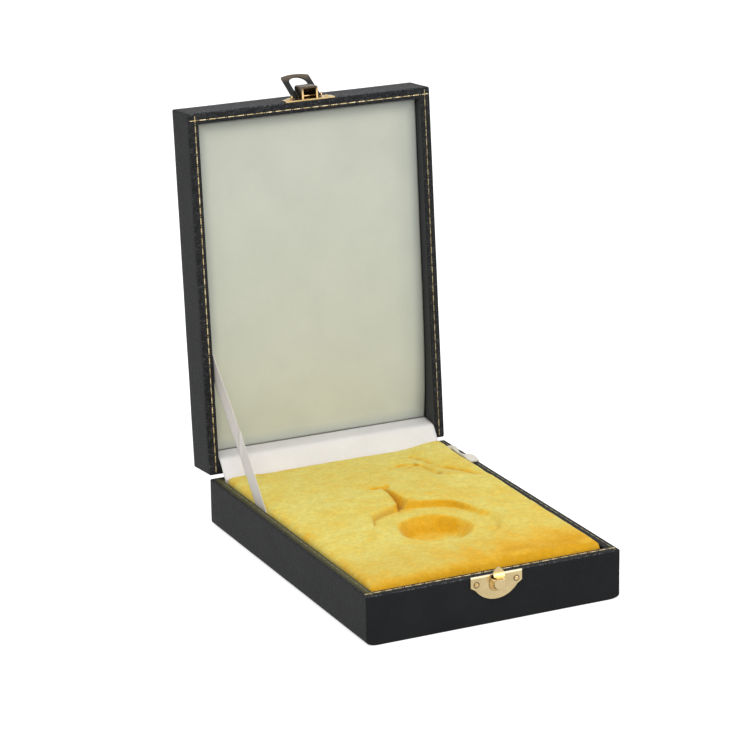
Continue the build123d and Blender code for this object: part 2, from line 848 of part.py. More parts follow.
def all_parts():
    """Every piece in its place, with the lid open."""
    parts = {}
    for side, wall in base_walls().items():
        parts[f"base_{side}_wall"] = wall
    parts["base_bottom_board"] = base_floor()
    parts["base_leather_cover"] = base_cover()
    parts["underside_lining"] = underside_lining()
    parts["insert_board"] = insert_board()
    foam = insert_foam()
    parts["insert_foam"] = foam
    parts["insert_velvet"] = insert_velvet(foam)
    parts["catch_plate"] = catch_plate()
    parts["guide_tongue"] = guide_tongue()
    parts["catch_nails"] = clasp_nails(-1)
    parts["hinge_leaf_base"] = hinge_leaf(-1, range(0, knuckle_count, 2))
    parts["hinge_nails_base"] = hinge_nails(-1)
    parts["hinge_pin"] = hinge_pin()
    parts["satin_hinge_strip"] = hinge_strip()
    parts["stay_ribbon_left"] = stay_ribbon()
    parts["stay_ribbon_right"] = slack_ribbon()
    for side, wall in lid_walls().items():
        parts[f"lid_{side}_wall"] = opened(wall)
    parts["lid_top_board"] = opened(lid_panel())
    parts["lid_leather_cover"] = opened(lid_cover())
    card, wadding, satin = lid_pad_pieces()
    parts["lid_pad_card"] = opened(card)
    parts["lid_pad_wadding"] = opened(wadding)
    parts["lid_pad_satin"] = opened(satin)
    parts["hinge_leaf_lid"] = opened(hinge_leaf(1, range(1, knuckle_count, 2)))
    parts["hinge_nails_lid"] = [opened(nail) for nail in hinge_nails(1)]
    parts["keeper_plate"] = opened(keeper_plate())
    parts["keeper_box"] = opened(keeper_box())
    parts["keeper_nails"] = [opened(nail) for nail in clasp_nails(1)]
    parts["bail_pin"] = opened(bail_pin())
    parts["bail"] = opened(bail())
    return parts


def write_parts():
    """Write one STEP file for each piece or group of like pieces."""
    os.makedirs("parts", exist_ok=True)
    for name, shape in all_parts().items():
        solids = shape if isinstance(shape, list) else shape.solids()
        export_step(Compound(children=list(solids)), f"parts/{name}.step")


write_parts()
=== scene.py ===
"""A leatherette case for one medal, open, with a velvet insert, satin lid and gilt clasp.

Lengths are metres and colours are linear. Shapes are worked out in the closed case's place: X along
the front, Y from the clasp to the hinge, Z up. What belongs to the lid is then turned open.
"""
import json
from math import cos, pi, radians, sin

import bmesh
import bpy
import numpy as np
from mathutils import Euler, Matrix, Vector


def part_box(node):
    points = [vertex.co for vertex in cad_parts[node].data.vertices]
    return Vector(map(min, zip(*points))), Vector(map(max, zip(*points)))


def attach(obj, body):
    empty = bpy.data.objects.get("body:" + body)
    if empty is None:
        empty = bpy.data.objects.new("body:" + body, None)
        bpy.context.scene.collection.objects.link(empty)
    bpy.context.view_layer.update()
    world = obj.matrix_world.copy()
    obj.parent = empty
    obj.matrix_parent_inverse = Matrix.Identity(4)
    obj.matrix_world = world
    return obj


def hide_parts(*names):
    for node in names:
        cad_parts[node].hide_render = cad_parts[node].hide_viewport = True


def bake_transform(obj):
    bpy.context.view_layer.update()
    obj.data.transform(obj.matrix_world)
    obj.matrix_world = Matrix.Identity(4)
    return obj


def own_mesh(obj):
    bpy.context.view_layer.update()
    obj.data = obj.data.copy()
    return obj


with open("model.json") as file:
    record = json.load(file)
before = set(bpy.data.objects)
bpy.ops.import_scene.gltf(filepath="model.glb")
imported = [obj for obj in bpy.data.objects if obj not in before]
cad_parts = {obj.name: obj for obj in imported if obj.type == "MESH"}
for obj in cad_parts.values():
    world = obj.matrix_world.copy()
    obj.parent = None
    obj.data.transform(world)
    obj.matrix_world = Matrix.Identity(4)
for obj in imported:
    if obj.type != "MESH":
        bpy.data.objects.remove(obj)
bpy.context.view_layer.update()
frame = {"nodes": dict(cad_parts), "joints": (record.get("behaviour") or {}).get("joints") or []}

mm = 0.001
rng_seed = 24

# Case, read from the frame
half_width, half_length, base_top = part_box("base_leather_cover")[1]
lid_joint = next(j for j in frame["joints"] if j["name"] == "lid_hinge")
hinge_y, hinge_z = lid_joint["pos_m"][1:]
open_angle = radians(max(lid_joint["range_deg"]))
rim_gap = 0.4 * mm
lid_rim = base_top + rim_gap
lid_depth = 18.1 * mm
lid_top = lid_rim + lid_depth
rim_width = 4.7 * mm
corner_radius = 0.8 * mm

# Fineness of the meshes
side_points = 61
corner_points = 7
run_step = 2.5 * mm
arc_points = 6
panel_rings = 9
pad_side_rings = 4
velvet_cell = 0.43 * mm
pad_cell = 0.9 * mm
strip_grid = (70, 90)
taut_grid = (90, 13)
slack_grid = (80, 25)
weld = 0.002 * mm
touch = 0.01 * mm
crisp_angle = 40
pad_angle = 60
metal_angle = 50

# Leatherette
leather_thick = 0.4 * mm
rim_edge_radius = 0.55 * mm
mouth_edge_radius = 0.45 * mm
least_corner = 0.3 * mm
turn_down = 10.0 * mm
turn_under = 9.0 * mm
floor_gap = 0.1 * mm
floor_edge_radius = 0.4 * mm
floor_lift_run = 5.0 * mm
floor_lift = 1.9 * mm
panel_edge_radius = 0.7 * mm
panel_lift_run = 1.8 * mm
panel_lift = 1.2 * mm
panel_lift_left = 0.3 * mm
hinge_relief_half = 42.3 * mm
hinge_relief_depth = 0.95 * mm
base_relief_height = 1.7 * mm
lid_relief_height = 3.3 * mm
drift_pitch, drift_depth = 17, 0.05 * mm
# Grey scuffs painted over the rims' outer edges, partly real rubbing and partly a painted
# highlight; and a painted sheen on the lid's upturned face, which fades from the rim and towards
# the corners
wear_and_sheen_front, wear_and_sheen_elsewhere = 0.8, 0.3
lid_face_sheen = 0.4
sheen_corner_share = 0.09
sheen_fade = 0.4

# Gilt tooling
dash_length = 3.2 * mm
dash_width = 0.42 * mm
dash_height = 0.05 * mm
dash_pitch = 4.3 * mm
dash_sides = 8
dot_length = 0.5 * mm
dot_width = 0.26 * mm
tooling_inset = 3.05 * mm
tooling_inset_lid_right = 2.45 * mm
tooling_inset_base_right = 1.8 * mm
right_line_rubbed, right_line_bold = 0.45, 0.8

# Insert
insert_half_width = half_width - rim_width - 0.7 * mm
insert_half_length = half_length - rim_width - 0.75 * mm
insert_low = 4.4 * mm
insert_corner = 2.4 * mm
insert_crown = 4.4 * mm
crown_middle, crown_fall, crown_power = 0.45, 2.5, 2.3
insert_side_rise = 1.0 * mm
side_fall = 1.2
right_side_rise = 1.6 * mm
back_right_rise = 0.8 * mm
back_left_rise = 0.9 * mm
insert_shoulder = 2.6 * mm
front_run = 9.0 * mm
front_rise = 4.6 * mm
front_run_less = 3.5 * mm
front_rise_less = 1.4 * mm
recess_floor = base_top + 1.5 * mm
recess_half = 26.5 * mm
recess_end_softness = 1.2
hole_x = 0.4 * mm
hole_y = -24.3 * mm
hole_radius = 13.9 * mm
hole_floor = base_top - 4.6 * mm
slot_drop = 2.2 * mm
foot_inset = 0.9 * mm
bank_inset = 0.25 * mm

# Rumples: height or share, pitch in millimetres, seed
velvet_rumples = ((0.20, 15, 1), (0.12, 6, 2), (0.06, 2.4, 3))
floor_rumples = ((0.10, 9, 4), (0.05, 3, 12))
nap_rumples = ((0.08, 19, 6), (0.08, 7, 7), (0.05, 3.1, 14))
pad_rumples = ((0.07, 21, 8), (0.03, 7, 9))

# Places on the insert, in millimetres
recess_right = [
    (3, 1.6), (13, -1.9), (19, -5.4), (21.8, -12), (24, -18.3),
    (27, -22.2), (27, -29), (22, -40), (12, -48),
]
recess_outline = recess_right + [(-x, y) for x, y in reversed(recess_right)]
slot_bank_line = [(-5.2, -2.5), (-3.6, 3.6), (-2.3, 8.5), (-1.5, 15), (-1.5, 20), (-0.2, 22.8)]
slot_widths = [(-2, 9.0), (4, 6.4), (10, 3.6), (16, 2.2), (23, 1.3)]
pinch = [(19.6, 50.6), (25.5, 51.6), (30.4, 48.0), (31.0, 39.4), (31.4, 33.6)]
fold = [(31, 60), (34.6, 52.6), (35.3, 45.6), (36.3, 41.8), (39.8, 36), (42.7, 31), (45.4, 26)]
pinch_ends = ((28.6, 49.9), (31.4, 33.6))
slot_glow = (2, 3)

# Zones of the insert: each axis, where it begins and where it is full, in millimetres
zones = {
    "right_side": [("x", 22, 50)],
    "right_height": [("x", -15, 40)],
    "right_nap": [("x", -30, 45)],
    "right_half": [("x", -30, 0), ("y", 62, 45)],
    "back_right": [("x", 24, 46), ("y", 48, 68)],
    "back_left": [("x", -30, -46), ("y", 50, 68)],
    "front_nap": [("y", -40, -68)],
    "front_pit": [("y", -26, -58)],
    "slot": [("y", 24.2, 21.6), ("y", -4, -1)],
    "slot_floor": [("y", 0, 7)],
    "slot_seam": [("y", -2.5, 0), ("y", 23, 19)],
    "slot_shadow": [("y", 13, 5), ("y", 0, 2)],
    "left_of_hole": [("x", -4, -8), ("y", -34, -26), ("y", 8, 3)],
    "right_of_hole": [("x", 19, 23)],
    "behind_hole": [("y", -25, -16)],
    "recess_foot": [("y", -14, -9)],
}

# Distances over which a form or a tone grows, and widths of bell curves, in millimetres
recess_ends = (22, 26)
hole_lip = (-2.4, 4.6)
slot_bank_reach = (-0.35, 0.3)
right_edge_reach = (1.8, 0.8)
left_edge_reach = (6, 1)
hole_reach = (0, 5)
hole_wall_rise, hole_wall_fall = (-2.5, 1), (8, 3)
hole_wall_left = (2, 10)
past_bank, from_bank = (0, 0.5), (5.5, 1.5)
foot_width = bank_width = 0.6
pinch_end_width = 0.9
glow_width = 4.2

# Shares of the recess's lip on each side of its outline, of the slot's width and of its depth
lip_outside, lip_inside = 0.7, 1.1
slot_slope = (1.0, 0.15)
slot_deep = (0.4, 0.95)

# Where the painted pale highlight along the right edge runs
right_edge_from = 20 * mm
right_edge_front, right_edge_back = -66 * mm, 60 * mm

# Slopes over which the painted sheen turns the pile to its deep colour
front_slopes = (0.04, 0.85)
left_slopes = (0.25, 1.3)

# Unevenness of the nap: share, pitch in millimetres, seed
front_tufts = (0.5, 4.5, 15)
left_edge_tufts = (1, 1.7, 13)
seam_breaks = (0.5, 2.2, 16)
seam_least = 0.65

# Furrows in the velvet: line, width and depth in millimetres; a ridge has a depth below zero
velvet_furrows = (
    (pinch, 0.75, 0.9),
    (pinch, 3.6, 0.8),
    (fold, 1.4, 0.6),
    (fold, 4.2, 0.8),
    ([(24, 45), (29, 42), (29, 35)], 4.0, 0.5),
    ([(-4.5, 23.4), (-1.6, 24.0), (0.2, 22.6), (2.6, 24.8)], 1.0, 1.4),
    ([(14.0, 46.6), (18.0, 45.6), (22.2, 46.0), (26.6, 48.6)], 0.9, 0.4),
    ([(24, 3), (34, -3.5), (46, -4)], 2.2, 0.35),
    ([(37, -8), (43, -12), (48, -13)], 2.1, 0.3),
    ([(34, 46), (33, 36), (35, 26)], 2.6, -0.5),
    ([(-28, 9), (-15, 16), (-3, 17)], 5.0, -0.5),
    ([(-34, -30), (-30, -14), (-33, 2)], 5.0, 0.35),
    ([(4, 14), (13, 9), (26, 2)], 5.0, -0.35),
)
seam_width = 2.0

# Painted sheen and shade on the velvet: how far the pile turns to its deep colour, by place
nap_flat = 0.22
nap_facing_front = 0.5
nap_facing_left = 0.35
nap_front, nap_front_right = 0.1, 0.5
nap_right_edge = -0.75
nap_left_edge = 0.13
nap_hole = 0.34
nap_right_half = 0.05
nap_foot = 0.2
nap_seam = 0.36
nap_glow = 0.62
nap_slot = 0.2

# Painted shade on the velvet, in its seams, hollows and shadows, by place
pit_foot = 0.55
pit_hole_wall = 0.2
pit_front, pit_front_less = 0.18, 0.15
pit_seam = 0.45
pit_pinch_end = 0.75
pit_bank = 0.9
pit_slot = 0.6

# Lid pad
pad_half_width = half_width - rim_width - 0.25 * mm
pad_front = -half_length + rim_width + 0.3 * mm
pad_hinge_end = half_length - 7.9 * mm
pad_front_depth = 3.9 * mm
pad_middle_drop = 1.2 * mm
pad_end_drop = 3.6 * mm
pad_end_power = 8
pad_roll = 1.1 * mm
pad_back = 14.0 * mm
pad_shade_edge, pad_shade_right, pad_shade_front = 0.75, 0.4, 0.25
pad_shade_drift = (0.1, 9, 10)

# Both stays
ribbon_width = 8.4 * mm
ribbon_thick = 0.22 * mm

# Satin strip: its line on the lid is (in from the back, into the lid) in millimetres
strip_half = 50.9 * mm
strip_thick = 0.25 * mm
strip_wall = half_length - rim_width - 0.25 * mm
strip_on_lid = [
    (8.0, 11.0), (7.9, 9.0), (7.5, 6.5), (7.05, 4.0), (6.65, 2.0), (6.1, 0.5), (5.3, -0.3),
]
strip_bridge_shares = (0.3, 0.6, 0.85)
strip_bulge = 0.25 * mm
strip_drift = (14, 11)
# Painted shadow line where the strip meets the pad's end, and painted shade on the band along the
# lid's wall
shadow_line_run = 2.2 * mm
band_run = 9.6 * mm
band_fade = 1.6 * mm
band_shade = 0.17

# Taut stay
taut_foot = (-50.95 * mm, -half_length + 105.0 * mm, base_top - 8.2 * mm)
taut_head = (-50.75 * mm, -half_length + 167.4 * mm, base_top + 54.2 * mm)
taut_bow = 0.55 * mm
taut_cup = 0.25 * mm
fold_rise = 0.16 * mm
fold_place, fold_sharp, fold_slant = 0.46, 22, 1.8

# Slack stay: its fold and its edges over the base's rim, in millimetres
slack_fold_line = [
    (51.1, 68.0, -5.0), (51.1, 67.0, -1.6), (52.6, 63.6, 0.5), (52.3, 59.8, 0.75),
    (52.2, 56.9, 0.8), (52.3, 54.8, 0.7), (52.3, 51.4, 0.6), (51.6, 47.2, 0.7), (51.5, 43.3, 0.9),
]
slack_edge_line = [
    (51.1, 71.5, -5.0), (51.2, 70.5, -1.3), (54.1, 65.9, 1.2), (54.2, 62.1, 1.5),
    (53.4, 58.8, 1.1), (52.8, 56.0, 0.9), (53.0, 53.6, 0.95), (55.5, 50.4, 1.6), (55.5, 42.9, 1.2),
]
slack_layer_gap = 0.36 * mm
slack_wave = 0.12 * mm

# Clasp
clasp_edge = 0.1 * mm
plate_front_edge = 0.4 * mm
bevel_segments = 3
sharp_corner = 40
flat_corner = 1.0
loose_weld = 0.0005 * mm

# Noises: clouds to the metre, detail, roughness
noises = {
    "pores": (2600.0, 4.0, 0.5),
    "mottle": (55.0, 4.0, 0.6),
    "scuffs": (560.0, 5.0, 0.7),
    "specks": (1700.0, 2.0, 0.5),
    "dust_and_reflection": (380.0, 5.0, 0.7),
    "rubbed": (420.0, 4.0, 0.65),
    "foil_grain": (2600.0, 2.0, 0.5),
    "clouds": (260.0, 4.0, 0.6),
    "scratches": (1800.0, 3.0, 0.6),
    "tarnish": (520.0, 5.0, 0.7),
    "crush": (150.0, 6.0, 0.66),
    "tufts": (1250.0, 3.0, 0.6),
    "pile": (2300.0, 2.0, 0.5),
    "dull_patches": (330.0, 5.0, 0.7),
    "lean": (480.0, 5.0, 0.7),
    "slub": (420.0, 5.0, 0.65),
    "drift": (38.0, 3.0, 0.5),
    "rings": (300.0, 5.0, 0.6),
    "flecks": (900.0, 5.0, 0.7),
}
pebbles_per_metre = 1150.0

# Spreads of those noises and of other values: from, to, new from, new to
spreads = {
    "pebble": (0.1, 0.75, 1.0, 0.0),
    "scuffs": (0.36, 0.62),
    "specks": (0.47, 0.64, 0.15, 1.7),
    "dust_and_reflection": (0.3, 0.7, 0.45, 1.0),
    "leather_rough": (0.2, 0.8, 0.46, 0.66),
    "foil_rough": (0.3, 0.7, 0.5, 0.3),
    "tarnish": (0.45, 0.7),
    "ring_shade": (0.08 * mm, 0.42 * mm, 0.85, 0.0),
    "pile": (0.36, 0.64, -0.16, 0.16),
    "pile_by_nap": (0.15, 0.7, 0.35, 0.6),
    "crush": (0.3, 0.7, -0.12, 0.12),
    "tufts": (0.35, 0.65, -0.08, 0.08),
    "dull_patches": (0.4, 0.7, 0.0, 0.15),
    "lean": (0.3, 0.7, 0.91, 1.12),
}

# Heights of the grains
grain_heights = {
    "leather": 0.08 * mm,
    "foil": 0.02 * mm,
    "scratches": 0.0006 * mm,
    "crush": 0.5 * mm,
    "tufts": 0.22 * mm,
    "pile": 0.12 * mm,
    "threads": 0.03 * mm,
    "rings": 0.05 * mm,
    "flecks": 0.04 * mm,
}

# Colours: a pair is dark and light
leather_blacks = (0.0110, 0.0117, 0.0128), (0.0175, 0.0183, 0.0195)
leather_pebble = (0.022, 0.0225, 0.024)
# Grey scuffs, which also paint a highlight on the rim edges and a sheen on the lid's face
leather_scuff_and_sheen = (0.15, 0.152, 0.165)
# Olive gilt on the left rim, also a painted reflection of the velvet
leather_gilt_and_reflection = (0.135, 0.128, 0.058)
# Painted light on the lid's turned-in inner wall, which is the same leather
leather_inner_wall_lit = (0.055, 0.058, 0.062)
foil_stops = [(0.3, (0.24, 0.17, 0.08)), (0.5, (0.58, 0.45, 0.23)), (0.7, (0.86, 0.74, 0.48))]
foil_rubbed_off = (0.10, 0.10, 0.035)
# Velvet colours along the painted sheen and shade: pale where the pile is seen flat, orange where
# it faces the front or lies in shade
sheen_and_shade_stops = [
    (0.0, (0.81, 0.73, 0.24)),
    (0.25, (0.79, 0.64, 0.14)),
    (0.6, (0.84, 0.50, 0.045)),
    (1.0, (0.74, 0.38, 0.014)),
]
velvet_dull = (0.54, 0.45, 0.11)
# Painted shade in the velvet's seams and hollows
velvet_shade_colour = (0.44, 0.17, 0.004)
velvet_glint = (1.0, 0.90, 0.55, 1)
# Painted shade in a ring round each nail head
nail_ring_shade = (0.09, 0.055, 0.03)
wood_tones = (0.42, 0.28, 0.15), (0.60, 0.44, 0.27)
card_tones = (0.30, 0.28, 0.25), (0.42, 0.40, 0.36)
lining_tones = (0.02, 0.02, 0.022), (0.04, 0.04, 0.043)

# Cloths: dark, light and painted colour, threads to the metre, sheen, roughness. The third colour
# is painted shade on the satins and a painted highlight on the ribbon.
cream_satin = ((0.625, 0.655, 0.56), (0.66, 0.685, 0.59), (0.46, 0.49, 0.455)), 520.0, 0.25, 0.55
white_satin = ((0.80, 0.78, 0.77), (0.87, 0.85, 0.84), (0.12, 0.095, 0.06)), 520.0, 0.3, 0.4
white_ribbon = ((0.64, 0.58, 0.50), (0.70, 0.64, 0.555), (0.88, 0.84, 0.78)), 640.0, 0.3, 0.4

# Brasses: material, dark and light colour, roughness from and to, tarnish
brasses = {
    "plate": ("catch_plate_brass", (0.44, 0.34, 0.175), (0.52, 0.41, 0.22), 0.24, 0.28, 0.0),
    "tongue": ("tongue_brass", (0.46, 0.34, 0.15), (0.58, 0.45, 0.22), 0.2, 0.3, 0.0),
    # A lighter copy of the brass, painted bright for highlights on the keeper's nails
    "bright": ("gilt_brass_bright", (0.60, 0.43, 0.17), (0.80, 0.60, 0.28), 0.2, 0.3, 0.0),
    "aged": ("gilt_brass_aged", (0.50, 0.33, 0.14), (0.80, 0.60, 0.30), 0.16, 0.3, 0.5),
    "nail": ("catch_nail_brass", (0.50, 0.33, 0.14), (0.80, 0.60, 0.30), 0.16, 0.3, 0.5),
    # Copies painted dark for shade and the dark they reflect: the keeper box and the bail
    "keeper": ("keeper_painted_dark_brass", (0.06, 0.042, 0.026), (0.16, 0.115, 0.075), 0.2, 0.36, 0.6),
    "bronzed": ("painted_dark_brass", (0.018, 0.019, 0.020), (0.034, 0.035, 0.035), 0.3, 0.45, 0.4),
    "plain": ("plain_brass", (0.55, 0.42, 0.20), (0.66, 0.52, 0.28), 0.35, 0.5, 0.3),
}

# Painted highlights and shade past a line on the clasp: edge, axis, from and to in millimetres
# beyond it, colour
clasp_painted_light = {
    "plate": (
        ("boss_face", "Y", 3.0, 2.6, (0.98, 0.74, 0.38)),
        ("boss_face", "Y", 0.5, 0.15, (0.50, 0.39, 0.21)),
        ("plate_top", "Z", -0.75, -0.45, (0.95, 0.82, 0.56)),
    ),
    "tongue": (
        ("tongue_top", "Z", -2.2, -2.7, (0.92, 0.72, 0.32)),
        ("tongue_top", "Z", -3.3, -3.9, (0.55, 0.34, 0.10)),
    ),
    "keeper": (("box_mouth", "Y", 0.35, 0.2, (0.80, 0.55, 0.25)),),
    "bronzed": (("bail_crest", "Z", -2.4, -0.9, (0.15, 0.12, 0.085)),),
}
nailed_metals = ("plate", "nail")

# Studio
horizon_strength = 0.30
zenith_strength = 0.62
backdrop_strength = 0.6
floor_reach = 3.0
floor_grey = (0.6, 0.6, 0.6, 1)
floor_glow = 0.75
white = (1, 1, 1, 1)
lamps = {"key": ((-0.6, -0.9, 1.6), 1.1, 12.6), "fill": ((0.9, -1.3, 0.9), 1.0, 7.4)}
lamp_target = (0, 0, 0.06)
camera_place = (-0.5263, -1.0826, 0.4570)
camera_turn = (radians(72.63), radians(0.83), radians(-25.58))
camera_lens = 148.97
camera_sensor = 36
camera_far = 20


# Shapes


def opened(points):
    """Turn the closed lid's points open about the hinge: y and z rotate by minus the angle."""
    turned = np.array(points, dtype=float)
    dy = turned[..., 1] - hinge_y
    dz = turned[..., 2] - hinge_z
    turned[..., 1] = hinge_y + dy * cos(open_angle) + dz * sin(open_angle)
    turned[..., 2] = hinge_z - dy * sin(open_angle) + dz * cos(open_angle)
    return turned


def grid_quads(rows, columns, wrap=False):
    """Quads between neighbouring rows and columns; wrap joins the last column to the first."""
    row = np.arange(rows - 1)
    column = np.arange(columns if wrap else columns - 1)
    i, j = np.meshgrid(row, column, indexing="ij")
    k = (j + 1) % columns
    corners = [i * columns + j, i * columns + k, (i + 1) * columns + k, (i + 1) * columns + j]
    return np.stack(corners, -1).reshape(-1, 4)


def put(name, data):
    """A new object in the scene."""
    made = bpy.data.objects.new(name, data)
    bpy.context.scene.collection.objects.link(made)
    return made


def smooth(mesh, angle):
    """Shade a mesh smooth, except at edges sharper than an angle in degrees."""
    mesh.polygons.foreach_set("use_smooth", np.ones(len(mesh.polygons), dtype=bool))
    mesh.set_sharp_from_angle(angle=radians(angle))


def joined(parts):
    """Join (points, faces) parts into one: each part's faces count on from the last one's."""
    starts = np.cumsum([0] + [len(points) for points, _ in parts])
    faces = [faces + start for (_, faces), start in zip(parts, starts)]
    return np.concatenate([points for points, _ in parts]), np.concatenate(faces)


def add_mesh(name, points, faces, smooth_angle=crisp_angle):
    """A mesh object at the origin from points and faces, smooth except at sharp edges."""
    mesh = bpy.data.meshes.new(name)
    faces = faces.tolist() if isinstance(faces, np.ndarray) else faces
    mesh.from_pydata(np.reshape(points, (-1, 3)).tolist(), [], faces)
    smooth(mesh, smooth_angle)
    return put(name, mesh)


def clean(piece):
    """Merge doubled points and turn all faces outwards."""
    work = bmesh.new()
    work.from_mesh(piece.data)
    bmesh.ops.remove_doubles(work, verts=work.verts, dist=weld)
    bmesh.ops.recalc_face_normals(work, faces=work.faces)
    work.to_mesh(piece.data)
    work.free()


def finish_piece(piece, material, body, slot, *nodes):
    """Give a piece its material and its one body if any, and hide the nodes it replaces; the slot
    is not used.
    """
    piece.data.materials.clear()
    piece.data.materials.append(material)
    if body:
        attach(piece, body)
    if nodes:
        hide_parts(*nodes)


def set_values(piece, name, values):
    """Store one number for each point as an attribute that the material reads."""
    layer = piece.data.attributes.new(name, "FLOAT", "POINT")
    layer.data.foreach_set("value", np.asarray(values, dtype=np.float32).ravel())


def thicken(piece, thick, offset=-1):
    """Give a sheet its thickness, inwards unless told otherwise."""
    wall = piece.modifiers.new("thickness", "SOLIDIFY")
    wall.thickness = thick
    wall.offset = offset
    wall.use_even_offset = False


def smooth_step(value, low, high):
    """Zero below low, one above high, an S curve between: 3 t squared less 2 t cubed."""
    t = np.clip((value - low) / (high - low), 0, 1)
    return t * t * (3 - 2 * t)


def ease(value, low, high):
    """The same S curve between two lengths given in millimetres."""
    return smooth_step(value, low * mm, high * mm)


def quarter_round(share):
    """How far a quarter circle has dropped: one less the root of one less share squared."""
    return 1 - np.sqrt(np.clip(1 - share**2, 0, 1))


def bell(distance, width):
    """A bell curve: e to the minus square of distance over width, the width in millimetres."""
    return np.exp(-((distance / (width * mm)) ** 2))


def dense_ends(count):
    """Places from -1 to 1, denser towards both ends: the sine of even turns."""
    return np.sin(pi / 2 * np.linspace(-1, 1, count))


def rumple(x, y, pitch, seed):
    """Gentle random heights from -1 to 1: random values on a lattice, pitch millimetres apart."""
    lattice = np.random.default_rng(rng_seed + seed).uniform(-1, 1, (97, 97))
    u = x / (pitch * mm) + 40
    v = y / (pitch * mm) + 40
    i = np.floor(u).astype(int)
    j = np.floor(v).astype(int)
    s = smooth_step(u - i, 0, 1)
    t = smooth_step(v - j, 0, 1)
    i %= 96
    j %= 96
    low = lattice[i, j] * (1 - s) + lattice[i + 1, j] * s
    high = lattice[i, j + 1] * (1 - s) + lattice[i + 1, j + 1] * s
    return low * (1 - t) + high * t


def zone(x, y, name):
    """How far a place lies in a zone of the insert: the product of the zone's S curves."""
    inside = 1.0
    for axis, low, high in zones[name]:
        inside = inside * ease({"x": x, "y": y}[axis], low, high)
    return inside


def rumples(x, y, rows):
    """Sum of rumples, each given as (share, pitch, seed)."""
    return sum(share * rumple(x, y, pitch, seed) for share, pitch, seed in rows)


def distance_to(x, y, line):
    """Distance to a line through points that are given in millimetres."""
    nearest = np.full(x.shape, np.inf)
    line = np.array(line) * mm
    for (ax, ay), (bx, by) in zip(line, line[1:]):
        ex, ey = bx - ax, by - ay
        t = np.clip(((x - ax) * ex + (y - ay) * ey) / (ex * ex + ey * ey), 0, 1)
        nearest = np.minimum(nearest, np.hypot(x - ax - t * ex, y - ay - t * ey))
    return nearest


def depth_inside(x, y, outline):
    """Distance to a closed outline in millimetres, positive inside it by the crossing rule."""
    inside = np.zeros(x.shape, dtype=bool)
    closed = np.array(outline + outline[:1])
    for (ax, ay), (bx, by) in zip(closed * mm, closed[1:] * mm):
        if ay != by:
            inside ^= ((ay > y) != (by > y)) & (x < (bx - ax) * (y - ay) / (by - ay) + ax)
    nearest = distance_to(x, y, closed)
    return np.where(inside, nearest, -nearest)


def run_along(points):
    """Length of a line of points up to each of them."""
    return np.concatenate([[0], np.cumsum(np.linalg.norm(np.diff(points, axis=0), axis=1))])


def smooth_line(points, count):
    """A smooth line through points: each piece is a cubic with the neighbours' mean slopes."""
    points = np.array(points, dtype=float)
    run = run_along(points)
    slope = np.gradient(points, run, axis=0)
    at = np.linspace(0, run[-1], count)
    k = np.clip(np.searchsorted(run, at, side="right") - 1, 0, len(run) - 2)
    width = (run[k + 1] - run[k])[:, None]
    t = ((at - run[k])[:, None]) / width
    start, end = points[k], points[k + 1]
    return (
        start * (2 * t**3 - 3 * t**2 + 1)
        + slope[k] * width * (t**3 - 2 * t**2 + t)
        + end * (3 * t**2 - 2 * t**3)
        + slope[k + 1] * width * (t**3 - t**2)
    )


# Shader building


def shader_material(name):
    """A new material with its tree and main shader."""
    material = bpy.data.materials.new(name)
    material.use_nodes = True
    tree = material.node_tree
    return material, tree, tree.nodes["Principled BSDF"]


def plug(tree, node, sockets):
    """Set a node's inputs: a socket is linked, anything else is its plain value."""
    for key, value in sockets.items():
        if isinstance(value, bpy.types.NodeSocket):
            tree.links.new(value, node.inputs[key])
        else:
            node.inputs[key].default_value = value


def add_node(tree, kind, sockets=None, **settings):
    """A node with its settings and inputs."""
    made = tree.nodes.new(kind)
    for key, value in settings.items():
        setattr(made, key, value)
    plug(tree, made, sockets or {})
    return made


def object_place(tree, scale=(1, 1, 1)):
    """Object coordinates, stretched by scale."""
    place = add_node(tree, "ShaderNodeTexCoord").outputs["Object"]
    return add_node(tree, "ShaderNodeMapping", {"Vector": place, "Scale": scale}).outputs["Vector"]


def carried(tree, name):
    """The value that the mesh carries under a name."""
    return add_node(tree, "ShaderNodeAttribute", attribute_name=name).outputs["Fac"]


def noise(tree, place, name):
    """Cloud noise from 0 to 1, of the kind that the table of noises names."""
    scale, detail, roughness = noises[name]
    sockets = {"Vector": place, "Scale": scale, "Detail": detail, "Roughness": roughness}
    return add_node(tree, "ShaderNodeTexNoise", sockets).outputs["Fac"]


def ramp(tree, value, stops):
    """Colours along a value: stops are (place, colour)."""
    made = add_node(tree, "ShaderNodeValToRGB", {"Fac": value})
    elements = made.color_ramp.elements
    while len(elements) < len(stops):
        elements.new(0.5)
    for element, (place, colour) in zip(elements, stops):
        element.position = place
        element.color = (*colour, 1)
    return made.outputs["Color"]


def two_tones(tree, value, tones, low=0.3, high=0.7):
    """A dark and a light colour, blended between two values."""
    return ramp(tree, value, [(low, tones[0]), (high, tones[1])])


def spread(tree, value, low, high, new_low=0.0, new_high=1.0):
    """Map low..high to new_low..new_high, held at the ends."""
    ends = {"From Min": low, "From Max": high, "To Min": new_low, "To Max": new_high}
    return add_node(tree, "ShaderNodeMapRange", {"Value": value, **ends}).outputs["Result"]


def blend_colours(tree, share, first, second, kind="MIX"):
    """Mix two colours by share."""
    made = add_node(tree, "ShaderNodeMix", {0: share}, data_type="RGBA", blend_type=kind)
    plug(tree, made, {6: first, 7: (*second, 1) if isinstance(second, tuple) else second})
    return made.outputs[2]


def calc(tree, kind, first, second=0.0):
    """Arithmetic on two values."""
    return add_node(tree, "ShaderNodeMath", {0: first, 1: second}, operation=kind).outputs["Value"]


def plus(tree, first, second):
    """Sum of two values."""
    return calc(tree, "ADD", first, second)


def times(tree, first, second):
    """Product of two values."""
    return calc(tree, "MULTIPLY", first, second)


